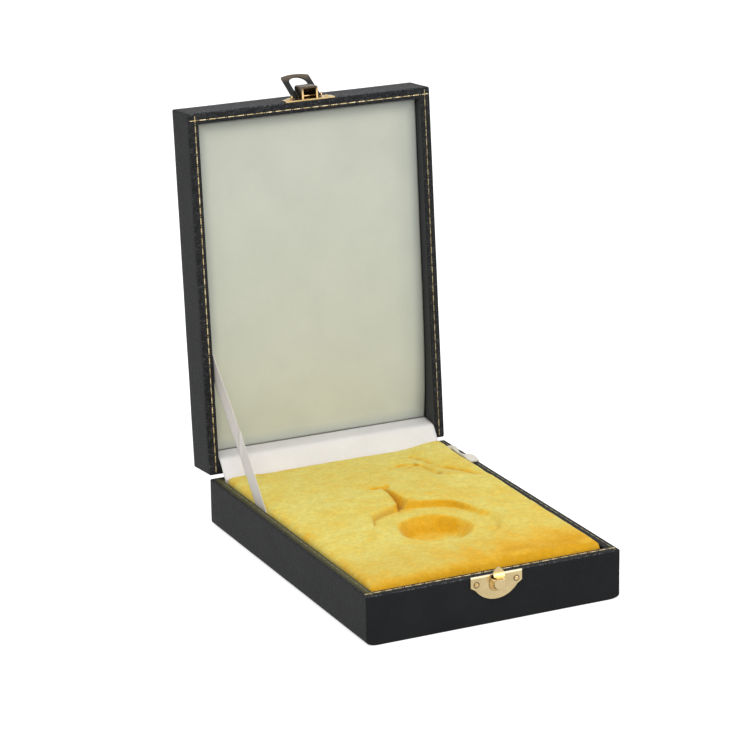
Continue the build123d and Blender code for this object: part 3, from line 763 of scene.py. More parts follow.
def bumped(tree, shader, height, depth, strength=1.0, under=None):
    """Raise the shader's surface by height times depth, over another bump if one is given."""
    sockets = {"Height": height, "Distance": depth, "Strength": strength}
    if under is not None:
        sockets["Normal"] = under
    normal = add_node(tree, "ShaderNodeBump", sockets).outputs["Normal"]
    plug(tree, shader, {"Normal": normal})
    return normal


# Finishes


def leatherette_material():
    """Black grained leatherette: pebbles, pores, scuffs that also paint a highlight on the
    edges and a sheen on the lid's face, gilt on a rim with a painted reflection of the velvet,
    and painted light on the lid's turned-in inner wall.
    """
    material, tree, shader = shader_material("black_leatherette")
    place = object_place(tree)
    cells = add_node(tree, "ShaderNodeTexVoronoi", {"Vector": place, "Scale": pebbles_per_metre})
    pebble = spread(tree, cells.outputs["Distance"], *spreads["pebble"])
    pores = noise(tree, place, "pores")
    streaks = object_place(tree, (0.55, 1.0, 1.0))
    scuffs = spread(tree, noise(tree, streaks, "scuffs"), *spreads["scuffs"])
    specks = spread(tree, noise(tree, streaks, "specks"), *spreads["specks"])
    worn_and_sheen = times(tree, carried(tree, "wear_and_sheen"), times(tree, scuffs, specks))
    dust_and_reflection = spread(tree, noise(tree, place, "dust_and_reflection"), *spreads["dust_and_reflection"])
    colour = two_tones(tree, noise(tree, place, "mottle"), leather_blacks)
    for share, over in (
        (times(tree, pebble, 0.25), leather_pebble),
        (worn_and_sheen, leather_scuff_and_sheen),
        (times(tree, carried(tree, "dust_and_reflection"), dust_and_reflection), leather_gilt_and_reflection),
        # Painted light on the lid's inner wall
        (carried(tree, "turned"), leather_inner_wall_lit),
    ):
        colour = blend_colours(tree, share, colour, over)
    rough = spread(tree, pores, *spreads["leather_rough"])
    plug(tree, shader, {"Base Color": colour, "Roughness": rough, "Specular IOR Level": 0.085})
    height = plus(tree, pebble, times(tree, pores, 0.3))
    bumped(tree, shader, height, grain_heights["leather"])
    return material


def gilt_foil_material():
    """Gold foil pressed into leather: bright with dull, rubbed patches."""
    material, tree, shader = shader_material("gilt_foil")
    place = object_place(tree)
    rubbed = noise(tree, place, "rubbed")
    colour = ramp(tree, rubbed, foil_stops)
    colour = blend_colours(tree, carried(tree, "rub"), colour, foil_rubbed_off)
    rough = spread(tree, rubbed, *spreads["foil_rough"])
    plug(tree, shader, {"Base Color": colour, "Roughness": rough, "Metallic": 0.75})
    bumped(tree, shader, noise(tree, place, "foil_grain"), grain_heights["foil"])
    return material


def brass_material(name, dark, light, low_rough, high_rough, tarnish, tips=(), nails=None):
    """Gilt brass: fine brushed scratches and soft cloudy tarnish.

    tips are painted highlights and shade past a line: (axis, low, high, colour past them). nails is
    (x, z, radius) of a pair of nail heads, which get a painted ring of shade round their edges.
    """
    material, tree, shader = shader_material(name)
    place = object_place(tree)
    scratches = noise(tree, object_place(tree, (1.0, 6.0, 1.0)), "scratches")
    colour = two_tones(tree, noise(tree, place, "clouds"), (dark, light))
    tarnished = spread(tree, noise(tree, place, "tarnish"), *spreads["tarnish"])
    brown = tuple(0.35 * value for value in dark)
    colour = blend_colours(tree, times(tree, tarnished, tarnish), colour, brown)
    # Painted highlights and shade past a line
    for axis, low, high, tip in tips:
        along = add_node(tree, "ShaderNodeSeparateXYZ", {"Vector": place}).outputs[axis]
        colour = blend_colours(tree, spread(tree, along, low, high), colour, tip)
    # Painted shade in a ring round each nail head
    if nails:
        flat = object_place(tree, (1.0, 0.0, 1.0))
        for x in (-nails[0], nails[0]):
            sockets = {0: flat, 1: (x, 0.0, nails[1])}
            gap = add_node(tree, "ShaderNodeVectorMath", sockets, operation="DISTANCE")
            seam = calc(tree, "ABSOLUTE", calc(tree, "SUBTRACT", gap.outputs["Value"], nails[2]))
            ring_shade = spread(tree, seam, *spreads["ring_shade"])
            colour = blend_colours(tree, ring_shade, colour, nail_ring_shade)
    rough = spread(tree, scratches, 0.3, 0.7, low_rough, high_rough)
    plug(tree, shader, {"Base Color": colour, "Roughness": rough, "Metallic": 1.0})
    bumped(tree, shader, scratches, grain_heights["scratches"])
    return material


def clasp_metals():
    """The clasp's metals: painted highlights at edges, and painted dark on the keeper box and the
    bail.
    """
    edges = {
        "plate_top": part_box("catch_plate")[1][2],
        "boss_face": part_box("catch_plate")[0][1],
        "tongue_top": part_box("guide_tongue")[1][2],
        "box_mouth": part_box("keeper_box")[0][1],
        "bail_crest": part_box("bail")[1][2],
    }
    nail_low, nail_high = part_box("catch_nails")
    nail_radius = 0.5 * (nail_high[2] - nail_low[2])
    nails = (nail_high[0] - nail_radius, nail_high[2] - nail_radius, nail_radius)
    metals = {}
    for key, row in brasses.items():
        tips = [
            (axis, edges[edge] + low * mm, edges[edge] + high * mm, tone)
            for edge, axis, low, high, tone in clasp_painted_light.get(key, ())
        ]
        metals[key] = brass_material(*row, tips, nails if key in nailed_metals else None)
    return metals


def velvet_material():
    """Yellow crushed velvet: pale to orange by a painted sheen and shade that the mesh carries,
    with crushed patches; a painted shade darkens its seams.
    """
    material, tree, shader = shader_material("yellow_velvet")
    place = object_place(tree)
    nap_sheen_and_shade = carried(tree, "nap_sheen_and_shade")
    crush, tufts, pile = (noise(tree, place, name) for name in ("crush", "tufts", "pile"))
    tone = plus(tree, nap_sheen_and_shade, spread(tree, crush, *spreads["crush"]))
    tone = plus(tree, tone, spread(tree, tufts, *spreads["tufts"]))
    grain = spread(tree, pile, *spreads["pile"])
    grain = times(tree, grain, spread(tree, nap_sheen_and_shade, *spreads["pile_by_nap"]))
    tone = plus(tree, tone, grain)
    dull = spread(tree, noise(tree, place, "dull_patches"), *spreads["dull_patches"])
    colour = blend_colours(tree, dull, ramp(tree, tone, sheen_and_shade_stops), velvet_dull)
    lean = spread(tree, noise(tree, place, "lean"), *spreads["lean"])
    colour = blend_colours(tree, 1.0, colour, lean, "MULTIPLY")
    # Painted shade in the seams and hollows
    colour = blend_colours(tree, carried(tree, "painted_shade"), colour, velvet_shade_colour)
    surface = {"Base Color": colour, "Roughness": 0.85, "Specular IOR Level": 0.04}
    sheen = {"Sheen Weight": 0.25, "Sheen Roughness": 0.35, "Sheen Tint": velvet_glint}
    plug(tree, shader, {**surface, **sheen})
    coarse = bumped(tree, shader, crush, grain_heights["crush"], 0.6)
    fine = bumped(tree, shader, tufts, grain_heights["tufts"], 0.8, coarse)
    bumped(tree, shader, pile, grain_heights["pile"], 0.8, fine)
    return material


def woven_material(name, colours, thread, sheen, rough):
    """Woven cloth: crossing threads of one pitch, slight colour drift and sheen, and a third colour
    painted where the mesh's shade value is high, for painted shade and highlights.
    """
    material, tree, shader = shader_material(name)
    place = object_place(tree)
    sockets = {"Vector": place, "Scale": thread, "Distortion": 0.4}
    warp, weft = (
        add_node(tree, "ShaderNodeTexWave", sockets, bands_direction=way).outputs["Fac"]
        for way in ("X", "Z")
    )
    slub = noise(tree, place, "slub")
    drift = times(tree, noise(tree, place, "drift"), 0.7)
    colour = two_tones(tree, plus(tree, drift, times(tree, slub, 0.3)), colours[:2], 0.35, 0.65)
    colour = blend_colours(tree, carried(tree, "shade"), colour, colours[2])
    surface = {"Base Color": colour, "Roughness": rough, "Specular IOR Level": 0.3}
    plug(tree, shader, {**surface, "Sheen Weight": sheen, "Sheen Roughness": 0.4})
    height = plus(tree, times(tree, plus(tree, warp, weft), 0.5), slub)
    bumped(tree, shader, height, grain_heights["threads"])
    return material


def fibrous_material(name, kind, tones, rough, scale=(1.0, 1.0, 1.0)):
    """Wood, card or paper: long rings or small flecks and a matt face."""
    material, tree, shader = shader_material(name)
    fibres = noise(tree, object_place(tree, scale), kind)
    plug(tree, shader, {"Base Color": two_tones(tree, fibres, tones), "Roughness": rough})
    bumped(tree, shader, fibres, grain_heights[kind])
    return material


# Leatherette skins


def rim_path():
    """Places round a rectangle, denser towards its corners: corner signs and outward normals."""
    relief = hinge_relief_half / half_width
    beside = (-relief - 0.002, -relief, relief, relief + 0.002)
    side = np.unique(np.concatenate([dense_ends(side_points), beside]))
    turn = np.linspace(0, pi / 2, corner_points)[1:-1]
    ones = np.ones_like(side)
    corner = np.ones_like(turn)
    runs = []
    quarters = ((side, -ones), (ones, side), (-side, ones), (-ones, -side))
    for quarter, (fx, fy) in enumerate(quarters):
        angle = (quarter - 1) * pi / 2
        runs.append(np.stack([fx, fy, np.full_like(side, angle)], -1))
        runs.append(np.stack([fx[-1] * corner, fy[-1] * corner, angle + turn], -1))
    return np.concatenate(runs)


def rounded_run(corners):
    """A line through (depth, height, radius) corners, each rounded by its radius, in steps."""
    points = [np.array(corners[0][:2])]
    for before, here, after in zip(corners, corners[1:], corners[2:]):
        a, b, c = (np.array(corner[:2]) for corner in (before, here, after))
        radius = here[2]
        first = (a - b) / np.linalg.norm(a - b)
        second = (c - b) / np.linalg.norm(c - b)
        points.extend(cut_run(points[-1], b + first * radius))
        centre = b + (first + second) * radius
        for share in np.linspace(0, 1, arc_points)[1:]:
            turn = share * pi / 2
            points.append(centre - second * radius * cos(turn) - first * radius * sin(turn))
    points.extend(cut_run(points[-1], np.array(corners[-1][:2])))
    return np.array(points)


def cut_run(start, end):
    """Points along a straight run after its start."""
    count = max(int(np.ceil(np.linalg.norm(end - start) / run_step)), 1)
    return [start + (end - start) * share for share in np.linspace(0, 1, count + 1)[1:]]


def with_step(profile, height):
    """Two close points where the outer wall passes a height, so that a step there is crisp."""
    wall = np.array([[0, height - 0.02 * mm], [0, height + 0.02 * mm]])
    rising = profile[0, 1] < profile[len(profile) // 2, 1]
    passed = (profile[:, 0] < touch) & ((profile[:, 1] > height) == rising)
    index = int(np.argmax(passed))
    return np.concatenate([profile[:index], wall if rising else wall[::-1], profile[index:]])


def skin_points(profile, path):
    """Carry a (depth, height) profile round the rectangle; corners shrink as the depth grows."""
    depth = profile[:, 0][:, None]
    radius = np.maximum(corner_radius - depth, least_corner)
    radius = np.minimum(radius, np.maximum(half_width - depth, 0))
    x = path[:, 0] * (half_width - depth - radius) + radius * np.cos(path[:, 2])
    y = path[:, 1] * (half_length - depth - radius) + radius * np.sin(path[:, 2])
    z = np.broadcast_to(profile[:, 1][:, None], x.shape)
    return np.stack([x, y, z], -1)


def lift_edges(points, flat, rim, run, left_rise, right_rise):
    """Ease the long edges of the flat side: a quarter ellipse that fades towards the rim."""
    share = np.clip((np.abs(points[..., 0]) - (half_width - run)) / run, 0, 1)
    lift = np.where(points[..., 0] < 0, left_rise, right_rise) * quarter_round(share)
    fade = 1 - np.abs(points[..., 2] - flat) / abs(rim - flat)
    points[..., 2] += np.sign(rim - flat) * lift * fade


def relieve_hinge(points, rim, height):
    """Step the back face in over the hinge, down from the rim."""
    x, y, z = np.moveaxis(points, -1, 0)
    near = (np.abs(x) < hinge_relief_half + touch) & (np.abs(z - rim) < height)
    points[..., 1] = np.where(near, np.minimum(y, half_length - hinge_relief_depth), y)


def leather_drift(points):
    """A slight waviness of the glued skin."""
    x, y, z = np.moveaxis(points, -1, 0)
    wave = rumple(x + z, y - z, drift_pitch, 5) * drift_depth
    x += wave * np.sign(x)
    y += wave * np.sign(y) * (np.abs(y) > half_length - rim_width)


def rim_wear_and_sheen(profile, path, rim, front_face):
    """Scuffs are highest where the skin turns over the rim's outer edge: partly rubbing, partly a
    painted highlight.

    front_face is the share of a painted sheen on the front wall, where it fades from the rim and
    towards the corners.
    """
    from_rim = np.abs(profile[:, 1] - rim)
    edge = np.hypot(profile[:, 0], profile[:, 1] - rim)
    wear_and_sheen = smooth_step(edge, 0.95 * rim_edge_radius, 0.5 * rim_edge_radius)
    wall = (profile[:, 0] < touch) * (1 - sheen_fade * smooth_step(from_rim, 2 * mm, lid_depth))
    front = path[:, 1] < -0.99
    corners = smooth_step(1 - np.abs(path[:, 0]), 0.0, sheen_corner_share)
    worn_and_sheen = wear_and_sheen[:, None] * np.where(front, wear_and_sheen_front, wear_and_sheen_elsewhere)
    worn_and_sheen = worn_and_sheen + front_face * wall[:, None] * front * corners
    return np.maximum(worn_and_sheen, 0.5 * front_face * (from_rim < touch)[:, None])


def gilt_dust_and_reflection(profile, points, rim):
    """Gilt rubbed into the left rim, with a painted reflection of the velvet: it grows from the
    outer edge to the line, then stays.
    """
    top = np.abs(profile[:, 1] - rim) < 0.15 * mm
    inwards = 0.45 * ease(profile[:, 0], 0.5, 1.3) + 0.4 * ease(profile[:, 0], 1.3, 2.6)
    left = points[..., 0] < -half_width + rim_width
    front = smooth_step(points[..., 1], -half_length, -half_length + 6 * mm)
    return (top * inwards)[:, None] * left * front


def leather_skin(half, profile, lift, relief, material):
    """One half's skin from its profile, eased, wavy and stepped in over the hinge."""
    lid = half == "lid"
    rim = lift[1]
    path = rim_path()
    profile = with_step(profile, rim + relief if lid else rim - relief)
    points = skin_points(profile, path)
    lift_edges(points, *lift)
    leather_drift(points)
    relieve_hinge(points, rim, relief)
    faces = grid_quads(len(profile), len(path), wrap=True)
    shape = (opened(points), faces[:, ::-1]) if lid else (points, faces)
    piece = add_mesh(f"leather_{half}_skin", *shape)
    # Scuffs with a painted highlight on the edges, and a painted sheen on the lid's face
    set_values(piece, "wear_and_sheen", rim_wear_and_sheen(profile, path, rim, lid_face_sheen if lid else 0.0))
    # Painted light on the lid's turned-in inner wall
    if lid:
        turned = (profile[:, 0] > rim_width - 0.1 * mm) & (profile[:, 1] < lid_rim + turn_down)
        set_values(piece, "turned", np.repeat(turned * 1.0, len(path)))
    else:
        # Gilt on the left rim, with a painted reflection of the velvet
        set_values(piece, "dust_and_reflection", gilt_dust_and_reflection(profile, points, rim))
    clean(piece)
    thicken(piece, leather_thick)
    finish_piece(piece, material, half, "leatherette", f"{half}_leather_cover")


def leather_skins(material):
    """The base's skin, from under the floor over the rim and down inside, and the lid's."""
    panel = [(ring, lid_top) for ring in np.linspace(half_width, turn_under, panel_rings)[:-1]]
    base_lift = (floor_gap, base_top, floor_lift_run, floor_lift, floor_lift)
    lid_lift = (lid_top, lid_rim, panel_lift_run, panel_lift_left, panel_lift)
    for half, first, lift, edge_radius, turned, relief in (
        ("base", [], base_lift, floor_edge_radius, -turn_down, base_relief_height),
        ("lid", panel, lid_lift, panel_edge_radius, turn_down, lid_relief_height),
    ):
        flat, rim = lift[:2]
        corners = [
            (turn_under, flat, 0),
            (0, flat, edge_radius),
            (0, rim, rim_edge_radius),
            (rim_width, rim, mouth_edge_radius),
            (rim_width, rim + turned, 0),
        ]
        profile = np.array([*first, *rounded_run(corners)])
        leather_skin(half, profile, lift, relief, material)


# Gilt tooling


def dash_ring(length, width, height):
    """One pressed dash, a low lozenge: rings round its length, the end rings drawn to a point."""
    along = np.array([-0.5, -0.46, -0.4, 0.4, 0.46, 0.5]) * length
    share = np.array([0.0, 0.75, 1.0, 1.0, 0.75, 0.0])
    angle = np.linspace(0, 2 * pi, dash_sides, endpoint=False)
    across = 0.5 * width * share[:, None] * np.cos(angle)
    up = height * share[:, None] * np.sin(angle)
    return np.stack([np.broadcast_to(along[:, None], across.shape), across, up], -1)


def tooled_line(start, end, seed, bold):
    """Dashes with a dot between, from start to end, all bold times as thick: points and faces."""
    start, end = np.array(start), np.array(end)
    length = np.linalg.norm(end - start)
    run = (end - start) / length
    side = np.array([-run[1], run[0]])
    jitter = np.random.default_rng(rng_seed + seed)
    dashes = []
    count = int(length // dash_pitch) + 1
    shift = 0.5 * (length - (count - 1) * dash_pitch)
    for index in range(count):
        for offset, size, width in ((0.0, dash_length, dash_width), (0.5, dot_length, dot_width)):
            middle = shift + (index + offset) * dash_pitch
            reach = min(size, 2 * (length - middle))
            if reach < dot_length:
                continue
            long = reach * jitter.uniform(0.93, 1.05)
            wide = bold * width * jitter.uniform(0.85, 1.1)
            ring = dash_ring(long, wide, bold * dash_height)
            flat = start + run * (middle + ring[..., 0, None]) + side * ring[..., 1, None]
            points = np.concatenate([flat, ring[..., 2:]], -1).reshape(-1, 3)
            dashes.append((points, grid_quads(*ring.shape[:2], wrap=True)))
    return joined(dashes)


def tooling(half, lines, level, material):
    """All gilt lines of one rim in one piece; each is (start, end, how rubbed it is, how bold)."""
    parts, rubs = [], []
    for seed, (start, end, rub, bold) in enumerate(lines):
        parts.append(tooled_line(start, end, seed, bold))
        rubs += [rub] * len(parts[-1][0])
    points, faces = joined(parts)
    points[:, 2] += level
    points = opened(points) if half == "lid" else points
    piece = add_mesh(f"gilt_tooling_{half}", points, faces)
    set_values(piece, "rub", rubs)
    clean(piece)
    finish_piece(piece, material, half, "gilt_brass")


def gilt_lines(material):
    """Dashed lines along the front and both sides of each rim; they cross at the front corners."""
    side = half_width - rim_edge_radius
    end = half_length - rim_edge_radius
    front = -half_length + tooling_inset
    left = -half_width + tooling_inset
    for half, level, inset, left_rubbed, front_bold in (
        ("base", base_top, tooling_inset_base_right, 0.75, 2.2),
        ("lid", lid_rim, tooling_inset_lid_right, 0.15, 0.85),
    ):
        right = half_width - inset
        lines = [
            ((-side, front), (side, front), 0, front_bold),
            ((left, -end), (left, end), left_rubbed, 1),
            ((right, -end), (right, end), right_line_rubbed, right_line_bold),
        ]
        tooling(half, lines, level, material)


# Velvet insert


def slot_bank(x, y):
    """Distance to the right of the slot's left bank, a line that leans left towards the recess."""
    bank_x, bank_y = np.array(slot_bank_line).T * mm
    return x - np.interp(y, bank_y, bank_x)


def slot_share(x, y):
    """Depth share of the ribbon's slot: steep at its left bank, then a slope to the recess."""
    past = slot_bank(x, y)
    width = np.interp(y, *(np.array(slot_widths).T * mm))
    slope = smooth_step(past / width, *slot_slope)
    return ease(past, *slot_bank_reach) * slope * zone(x, y, "slot")


def into_rounded(x, y, half_x, half_y, radius):
    """Draw a square grid's corners in to a radius; also gives the distance to the outline."""
    dx = np.maximum(np.abs(x) - (half_x - radius), 0)
    dy = np.maximum(np.abs(y) - (half_y - radius), 0)
    reach = np.hypot(dx, dy)
    factor = np.where(reach > 0, np.maximum(dx, dy) / np.maximum(reach, 1e-12), 1)
    new_x = np.sign(x) * (np.minimum(np.abs(x), half_x - radius) + dx * factor)
    new_y = np.sign(y) * (np.minimum(np.abs(y), half_y - radius) + dy * factor)
    straight = np.minimum(half_x - np.abs(x), half_y - np.abs(y))
    edge = np.where((dx > 0) & (dy > 0), radius - np.maximum(dx, dy), straight)
    return new_x, new_y, edge


def velvet_height(x, y, edge):
    """Height of the velvet: a crowned pad, its recess, hole and slot, and furrows.

    The crown falls from the middle to the ends and sides, and the shoulders are quarter rounds.
    Inside each outline the surface drops to that outline's floor through a soft lip.
    """
    along = (y + insert_half_length) / (2 * insert_half_length)
    crown = insert_crown * (1 - crown_fall * (along - crown_middle) ** 2)
    side = insert_side_rise * (1 - side_fall * (along - 0.5) ** 2)
    side += right_side_rise * zone(x, y, "right_side")
    top = base_top + side
    top += (crown - side) * (1 - (np.abs(x) / insert_half_width) ** crown_power)
    top += back_right_rise * zone(x, y, "back_right")
    top += back_left_rise * zone(x, y, "back_left")
    top += mm * rumples(x, y, velvet_rumples)
    right = zone(x, y, "right_height")
    shoulder = insert_shoulder * quarter_round(np.clip(1 - edge / insert_shoulder, 0, 1))
    run = front_run - front_run_less * right
    front = quarter_round(np.clip(1 - (y + insert_half_length) / run, 0, 1))
    front *= front_rise - front_rise_less * right
    top -= shoulder + front - right * np.minimum(shoulder, front)
    for line, width, depth in velvet_furrows:
        top -= depth * mm * bell(distance_to(x, y, line), width)

    lip = mm * (1 + recess_end_softness * ease(np.abs(x), *recess_ends))
    inside = depth_inside(x, y, recess_outline)
    weight = smooth_step(inside, -lip_outside * lip, lip_inside * lip)
    floor = recess_floor + mm * rumples(x, y, floor_rumples)
    top -= weight * np.maximum(top - floor, 0)
    floor = recess_floor - slot_drop * zone(x, y, "slot_floor")
    top -= slot_share(x, y) * np.maximum(top - floor, 0)
    weight = ease(hole_radius - np.hypot(x - hole_x, y - hole_y), *hole_lip)
    return top - weight * (top - hole_floor)


def velvet_sheen_and_shade(x, y, z, edge):
    """Painted light on the velvet: how far the pile turns to its deep colour, and painted shade in
    its seams.

    Both are sums of shares: slopes that face the front or the left, for a painted sheen; bands
    along the edges, a pale painted highlight on the right; the walls of hole, recess and slot, and
    a bell along each narrow furrow, for painted shade. Random rumples add crushed patches.
    """
    slope_y, slope_x = np.gradient(z, velvet_cell)
    reach = hole_radius - np.hypot(x - hole_x, y - hole_y)
    left = zone(x, y, "left_of_hole") * (reach < -2 * mm)
    beside = left + zone(x, y, "right_of_hole")
    right = zone(x, y, "right_nap")
    bank = slot_bank(x, y)
    slot = slot_share(x, y)
    # Painted sheen: slopes that face the front or the left turn to the deep colour
    nap_sheen_and_shade = nap_flat + nap_facing_front * smooth_step(slope_y, *front_slopes) * (1 - 0.85 * left)
    facing_left = smooth_step(slope_x, *left_slopes) * (np.abs(x) < recess_half)
    nap_sheen_and_shade += nap_facing_left * facing_left * (1 - 0.9 * beside)
    nap_sheen_and_shade += rumples(x, y, nap_rumples)
    tufted = 1 + rumples(x, y, [front_tufts])
    nap_sheen_and_shade += (nap_front + nap_front_right * right) * zone(x, y, "front_nap") * tufted
    right_side = (x > right_edge_from) * (y < right_edge_back) * (y > right_edge_front)
    nap_sheen_and_shade += nap_right_edge * ease(edge, *right_edge_reach) * right_side
    tufted = 1 + rumples(x, y, [left_edge_tufts])
    nap_sheen_and_shade += nap_left_edge * ease(edge, *left_edge_reach) * tufted * (x < 0)
    nap_sheen_and_shade += nap_hole * ease(reach, *hole_reach) * zone(x, y, "behind_hole")
    nap_sheen_and_shade += nap_right_half * zone(x, y, "right_half")
    # Painted deep tone and painted shade along the foot of the recess's wall
    foot = bell(depth_inside(x, y, recess_outline) - foot_inset, foot_width)
    foot *= zone(x, y, "recess_foot")
    nap_sheen_and_shade += nap_foot * foot * (1 - left)

    # Painted shade on the hole's left wall and along the front
    wall = ease(reach, *hole_wall_rise) * ease(reach, *hole_wall_fall)
    wall *= ease(hole_x - x, *hole_wall_left)
    painted_shade = np.maximum(pit_foot * foot * left, pit_hole_wall * wall)
    painted_shade = np.maximum(painted_shade, (pit_front - pit_front_less * right) * zone(x, y, "front_pit"))
    broken = np.clip(seam_least + rumples(x, y, [seam_breaks]), 0, 1)
    for line, width, _ in velvet_furrows:
        if width < seam_width:
            parted = bell(distance_to(x, y, line), width) * broken
            nap_sheen_and_shade += nap_seam * parted
            painted_shade = np.maximum(painted_shade, pit_seam * parted**2)
    # Painted dark spots of shade at the pinch's ends
    for end_x, end_y in pinch_ends:
        gap = np.hypot(x - end_x * mm, (y - end_y * mm) / 2)
        painted_shade = np.maximum(painted_shade, pit_pinch_end * bell(gap, pinch_end_width))
    # A painted deep tone round the slot's mouth, for its shade
    glow = bell(np.hypot(x - slot_glow[0] * mm, y - slot_glow[1] * mm), glow_width)
    nap_sheen_and_shade = np.maximum(nap_sheen_and_shade, nap_glow * glow * ease(bank, *past_bank)) + nap_slot * slot
    # Painted shade along the slot's left bank and in its mouth
    seam = bell(bank - bank_inset, bank_width) * zone(x, y, "slot_seam")
    deep = smooth_step(slot, *slot_deep) * zone(x, y, "slot_shadow") * ease(bank, *from_bank)
    painted_shade = np.maximum(painted_shade, np.maximum(pit_bank * seam, pit_slot * deep))
    return softened(nap_sheen_and_shade, 3), softened(painted_shade, 1)


def softened(values, times_over):
    """Half of each value and an eighth of its four neighbours, a few times over."""
    for _ in range(times_over):
        padded = np.pad(values, 1, mode="edge")
        around = padded[:-2, 1:-1] + padded[2:, 1:-1] + padded[1:-1, :-2] + padded[1:-1, 2:]
        values = 0.5 * values + 0.125 * around
    return values


def closed_pad(name, grid, foot, layers, lid=False):
    """Close a top grid with straight sides down to foot and a flat underside."""
    rows, columns = grid.shape[:2]
    index = np.arange(rows * columns).reshape(rows, columns)
    loop = np.concatenate([index[0, :-1], index[:-1, -1], index[-1, :0:-1], index[:0:-1, 0]])
    points = [grid.reshape(-1, 3)]
    faces = grid_quads(rows, columns).tolist()
    rim = points[0][loop]
    above = loop
    total = rows * columns
    for step in range(1, pad_side_rings + 1):
        ring = rim.copy()
        ring[:, 2] += (foot - rim[:, 2]) * step / pad_side_rings
        points.append(ring)
        below = total + np.arange(len(loop))
        faces += np.stack([above, below, np.roll(below, -1), np.roll(above, -1)], -1).tolist()
        above = below
        total += len(loop)
    faces.append(above[::-1].tolist())
    points = np.concatenate(points)
    piece = add_mesh(name, opened(points) if lid else points, faces, pad_angle)
    for layer, values in layers.items():
        flat = values.reshape(-1)
        set_values(piece, layer, np.concatenate([flat, np.tile(flat[loop], pad_side_rings)]))
    clean(piece)
    return piece


def velvet_insert(material):
    """The padded velvet insert: a top grid, sides down to the card, a flat underside."""
    halves = (insert_half_width, insert_half_length)
    x, y = np.meshgrid(*(np.linspace(-h, h, int(2 * h / velvet_cell) | 1) for h in halves))
    x, y, edge = into_rounded(x, y, *halves, insert_corner)
    z = velvet_height(x, y, edge)
    nap_sheen_and_shade, painted_shade = velvet_sheen_and_shade(x, y, z, edge)
    grid = np.stack([x, y, z], -1)
    piece = closed_pad("velvet_insert", grid, insert_low, {"nap_sheen_and_shade": nap_sheen_and_shade, "painted_shade": painted_shade})
    finish_piece(piece, material, "base", "velvet", "insert_velvet", "insert_foam")


# Satin lid pad, hinge strip and stays


def satin_pad(material):
    """The lid's padded lining: flat, its edges rolled back to the card, slightly quilted."""
    length = pad_hinge_end - pad_front
    columns = int(2 * pad_half_width / pad_cell) | 1
    rows = int(length / pad_cell) | 1
    middle = (pad_front + pad_hinge_end) / 2
    x, y = np.meshgrid(
        pad_half_width * dense_ends(columns),
        middle + length / 2 * dense_ends(rows),
    )
    from_front = y - pad_front
    edge = np.minimum(pad_half_width - np.abs(x), np.minimum(from_front, pad_hinge_end - y))
    share = from_front / length
    depth = pad_front_depth + pad_middle_drop * share + pad_end_drop * share**pad_end_power
    depth += pad_roll * quarter_round(np.clip(1 - edge / pad_roll, 0, 1))
    depth -= mm * rumples(x, y, pad_rumples)
    grid = np.stack([x, y, lid_rim + depth], -1)[:, ::-1]
    # Painted shade towards the edges, the right side and the front, with a slight random drift
    shade = pad_shade_edge * ease(edge, 6.0, 0) * ease(from_front, -3, 5)
    shade += pad_shade_right * ease(x - pad_half_width, -16, -1)
    shade += pad_shade_front * ease(from_front, 9, 0) + rumples(x, y, [pad_shade_drift])
    layers = {"shade": np.clip(shade[:, ::-1], 0, 1)}
    piece = closed_pad("satin_lid_pad", grid, lid_rim + pad_back, layers, lid=True)
    finish_piece(piece, material, "lid", "satin", "lid_pad_satin", "lid_pad_wadding")


def cloth(name, points, thick, shade):
    """A thin cloth on a grid of points, with its shade at each point."""
    piece = add_mesh(name, points, grid_quads(*points.shape[:2]))
    thicken(piece, thick, 0)
    set_values(piece, "shade", shade)
    return piece


def hinge_strip(material):
    """Satin strip: from under the lid's pad along its wall, over the gap, down into the base."""
    wall = [(0, half_length - up * mm, lid_rim + deep * mm) for up, deep in strip_on_lid]
    lid_side = opened(np.array(wall))[:, 1:]
    base_side = [
        (strip_wall + 0.1 * mm, base_top + 0.35 * mm),
        (strip_wall, base_top - 1.5 * mm),
        (strip_wall, base_top - 7 * mm),
    ]
    bridge_top = lid_side[-1]
    bridge_run = np.array(base_side[0]) - bridge_top
    middle = [bridge_top + bridge_run * share for share in strip_bridge_shares]
    line = smooth_line(np.concatenate([lid_side, middle, base_side]), strip_grid[0])
    x, y = np.meshgrid(np.linspace(-strip_half, strip_half, strip_grid[1]), line[:, 0])
    z = np.broadcast_to(line[:, 1:], x.shape)
    bulge = np.sin(pi * np.linspace(0, 1, len(line)))[:, None]
    y = y - strip_bulge * bulge * rumple(x, z, *strip_drift)
    run = run_along(line)
    # Painted shadow line where the strip meets the pad's end, and painted shade on the upper band
    seam = smooth_step(run, shadow_line_run + 0.5 * mm, shadow_line_run)
    band = band_shade * smooth_step(run, band_run + band_fade, band_run - band_fade)
    shade = np.repeat(np.maximum(seam, band), strip_grid[1])
    piece = cloth("satin_hinge_cloth", np.stack([x, y, z], -1), strip_thick, shade)
    finish_piece(piece, material, None, "satin", "satin_hinge_strip")
    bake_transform(piece)


